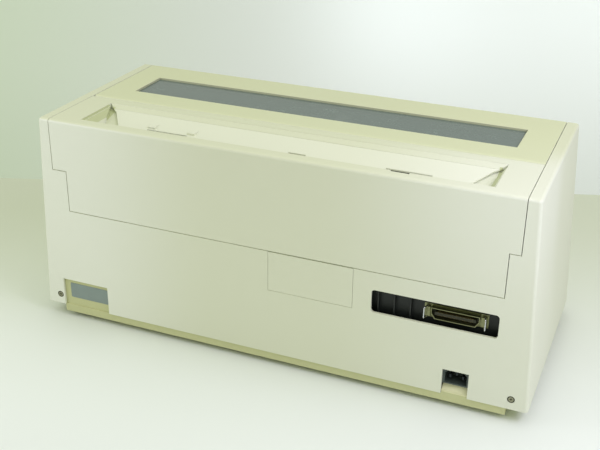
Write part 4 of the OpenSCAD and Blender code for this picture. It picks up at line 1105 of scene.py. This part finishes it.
class PRINTER_OT_print_head(Maker, bpy.types.Operator):
    """Makes the finned print head and its cap, and finishes the carriage"""

    bl_idname = "printer.print_head"
    bl_label = "Print head"

    def make(self, sizes):
        dress("dark", "dark_plastic", sizes.small_edge, "carriage")
        core = with_look(softened(merged("print_head"), sizes.small_edge), "casting")
        lo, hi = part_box("print_head")
        x, y, z = centre_of("print_head")
        count, pitch, fin = 6, 5 * MM, (1.1 * MM, 10.6 * MM, 30 * MM)
        start = (x - pitch * (count - 1) / 2, lo[1] + 5.5 * MM, z + 2 * MM)
        fins = grid("casting", fin, start, count, (pitch, 0, 0))
        radius, height, back, sunk = 2.2 * MM, 1.2 * MM, 9 * MM, 0.1 * MM
        bm = bmesh.new()
        profile = ((0, 0), (0, radius), (height, radius), (height, 0))
        turned(bm, profile, Vector((x, hi[1] - back, hi[2] - sunk)), "z", 20)
        cap = with_look(from_bmesh(bm, 0.2 * MM), "screw")
        new_piece("finned_head", joined([core, fins, cap]), None, "carriage", ("print_head",))


class PRINTER_OT_ribbon(Maker, bpy.types.Operator):
    """Finishes the cartridge and stretches the ribbon between its arms"""

    bl_idname = "printer.ribbon"
    bl_label = "Ribbon"

    def make(self, sizes):
        dress("dark", "dark_plastic", sizes.small_edge * 1.4, "ribbon_cartridge")
        middle = centre_of("ribbon_cartridge")[0]
        front = high("ribbon_cartridge")[1]
        passing = high("print_head")[1] + 0.25 * MM
        arm, bend, inside, lead = 27 * MM, 9 * MM, 6 * MM, 0.3 * MM
        base, thick = 185.5 * MM, 0.06 * MM
        half = [(arm, front - inside), (arm, front + lead), (bend, passing)]
        route = [(-x, y) for x, y in half] + half[::-1]
        points = [Vector((middle + x, y, base)) for x, y in route]
        rise = Vector((0, 0, sizes.ribbon_height))
        bm = bmesh.new()
        columns = []
        for i, point in enumerate(points):
            along = (points[min(i + 1, len(points) - 1)] - points[max(i - 1, 0)]).normalized()
            off = Vector((-along[1], along[0], 0)) * thick
            corners = (point - off, point - off + rise, point + off + rise, point + off)
            columns.append([bm.verts.new(corner) for corner in corners])
        skin(bm, columns)
        band = new_piece("inked_ribbon_band", from_bmesh(bm), "cloth", body_of("ribbon_cartridge"))


class PRINTER_OT_drive(Maker, bpy.types.Operator):
    """Makes the toothed belt and finishes the motors and pulleys"""

    bl_idname = "printer.drive"
    bl_label = "Carriage drive"

    def make(self, sizes):
        dress("motor", "motor_case", sizes.small_edge, "carriage_motor", "feed_motor")
        dress("brass", "brass", sizes.metal_edge, "motor_pulley", "idler_pulley")
        lo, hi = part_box("drive_belt")
        long, wide, outer = hi[0] - lo[0], hi[1] - lo[1], (hi[2] - lo[2]) / 2
        band = 0.8 * MM
        tooth = (0.9 * MM, wide - 0.2 * MM, 1.0 * MM)
        belt = grown(
            belt_tree, "rubber", span=long - 2 * outer, radius=outer - band / 2, band=band, width=wide,
            pitch=sizes.belt_pitch, tooth=tooth, centre=centre_of("drive_belt"),
            turn=(math.radians(90), 0, 0))
        new_piece("toothed_belt", softened(belt, 0), None, "chassis", ("drive_belt",))


class PRINTER_OT_electronics(Maker, bpy.types.Operator):
    """Populates the main board and finishes the power parts"""

    bl_idname = "printer.electronics"
    bl_label = "Electronics"

    def make(self, sizes):
        paint("board", "main_board")
        dress("core", "winding", sizes.small_edge, "transformer")
        thick, pitch, leg = 1.6 * MM, 2.54 * MM, (0.5 * MM, 1.6 * MM, 2.4 * MM)
        board = low("main_board")[2] + thick
        rear = high("housing")[1]
        first, spacing = -117, 42
        parts = []
        # Chips in a row, legs on a chip's side, and how far both lines of legs lie from the rear, in mm
        for chips, legs, lines in ((4, 7, (99.2, 118.8)), (5, 5, (139.2, 176.8))):
            for i in range(chips):
                for line in lines:
                    start = ((first + spacing * i) * MM, rear - line * MM, board + 1.2 * MM)
                    parts.append(grid("plated", leg, start, legs, (pitch, 0, 0)))
        resistor, start = (6 * MM, 2.2 * MM, 2.2 * MM), (-36 * MM, rear - 72 * MM, board + 1.1 * MM)
        parts.append(grid("key", resistor, start, 8, (9 * MM, 0, 0), 2, (0, -7 * MM, 0)))
        pin, start = (0.6 * MM, 0.6 * MM, 6 * MM), (-20 * MM, rear - 204.5 * MM, board + 3 * MM)
        parts.append(grid("gold", pin, start, 17, (pitch, 0, 0), 2, (0, pitch, 0)))
        new_piece("board_parts", joined(parts), None, "chassis")
        lo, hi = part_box("filter_capacitors")
        radius = (hi[0] - lo[0]) / 2
        tall = hi[2] - lo[2]
        # A crimped foot, the sleeve, its rolled edge, and the can's sunk top
        profile = (
            (0, 0), (0, radius - 0.6 * MM), (0.8 * MM, radius), (3 * MM, radius),
            (3.8 * MM, radius - 0.8 * MM), (4.6 * MM, radius), (tall - 1.2 * MM, radius),
            (tall - 0.3 * MM, radius - 0.6 * MM), (tall, radius - 1.6 * MM), (tall, radius - 2.4 * MM),
            (tall - 0.7 * MM, radius - 3 * MM), (tall - 0.7 * MM, 0))
        bm = bmesh.new()
        for y in (lo[1] + radius, hi[1] - radius):
            turned(bm, profile, Vector((lo[0] + radius, y, lo[2])), "z", 48)
        cans = from_bmesh(bm)
        new_piece("sleeved_capacitors", cans, "sleeve", "chassis", ("filter_capacitors",))


class PRINTER_OT_panel(Maker, bpy.types.Operator):
    """Finishes the control panel, its keys, lamps and the power rocker"""

    bl_idname = "printer.panel"
    bl_label = "Control panel"

    def make(self, sizes):
        dress("panel", "panel_grey", sizes.small_edge, "control_panel")
        keys = ("button_left", "button_middle", "button_right")
        dress("key", "key_cream", sizes.small_edge * SOFT, *keys, segments=3)
        dress("dark", "dark_plastic", sizes.small_edge * 1.2, "power_rocker")
        dress("lamp", "lamp_green", sizes.small_edge, "indicator_lamps")


STEPS = (
    PRINTER_OT_camera, PRINTER_OT_stage, PRINTER_OT_cabinet, PRINTER_OT_window, PRINTER_OT_rating_plate,
    PRINTER_OT_sockets, PRINTER_OT_chassis, PRINTER_OT_platen, PRINTER_OT_tractors, PRINTER_OT_bail,
    PRINTER_OT_print_head, PRINTER_OT_ribbon, PRINTER_OT_drive, PRINTER_OT_electronics, PRINTER_OT_panel,
)


class PRINTER_PT_parts(bpy.types.Panel):
    """Lists the operators and the values they use"""

    bl_idname = "PRINTER_PT_parts"
    bl_label = "Printer"
    bl_space_type = "VIEW_3D"
    bl_region_type = "UI"
    bl_category = "Printer"

    def draw(self, context):
        for step in STEPS:
            self.layout.operator(step.bl_idname)
        for group in (context.scene.printer_sizes, context.scene.printer_colours):
            for key in group.__annotations__:
                self.layout.prop(group, key)


CLASSES = (PrinterSizes, PrinterColours, *STEPS, PRINTER_PT_parts)


def register():
    for item in CLASSES:
        bpy.utils.register_class(item)
    bpy.types.Scene.printer_sizes = PointerProperty(type=PrinterSizes)
    bpy.types.Scene.printer_colours = PointerProperty(type=PrinterColours)


def unregister():
    del bpy.types.Scene.printer_colours
    del bpy.types.Scene.printer_sizes
    for item in reversed(CLASSES):
        bpy.utils.unregister_class(item)


def main():
    register()
    for step in STEPS:
        group, name = step.bl_idname.split(".")
        getattr(getattr(bpy.ops, group), name)()


if __name__ == "__main__":
    main()
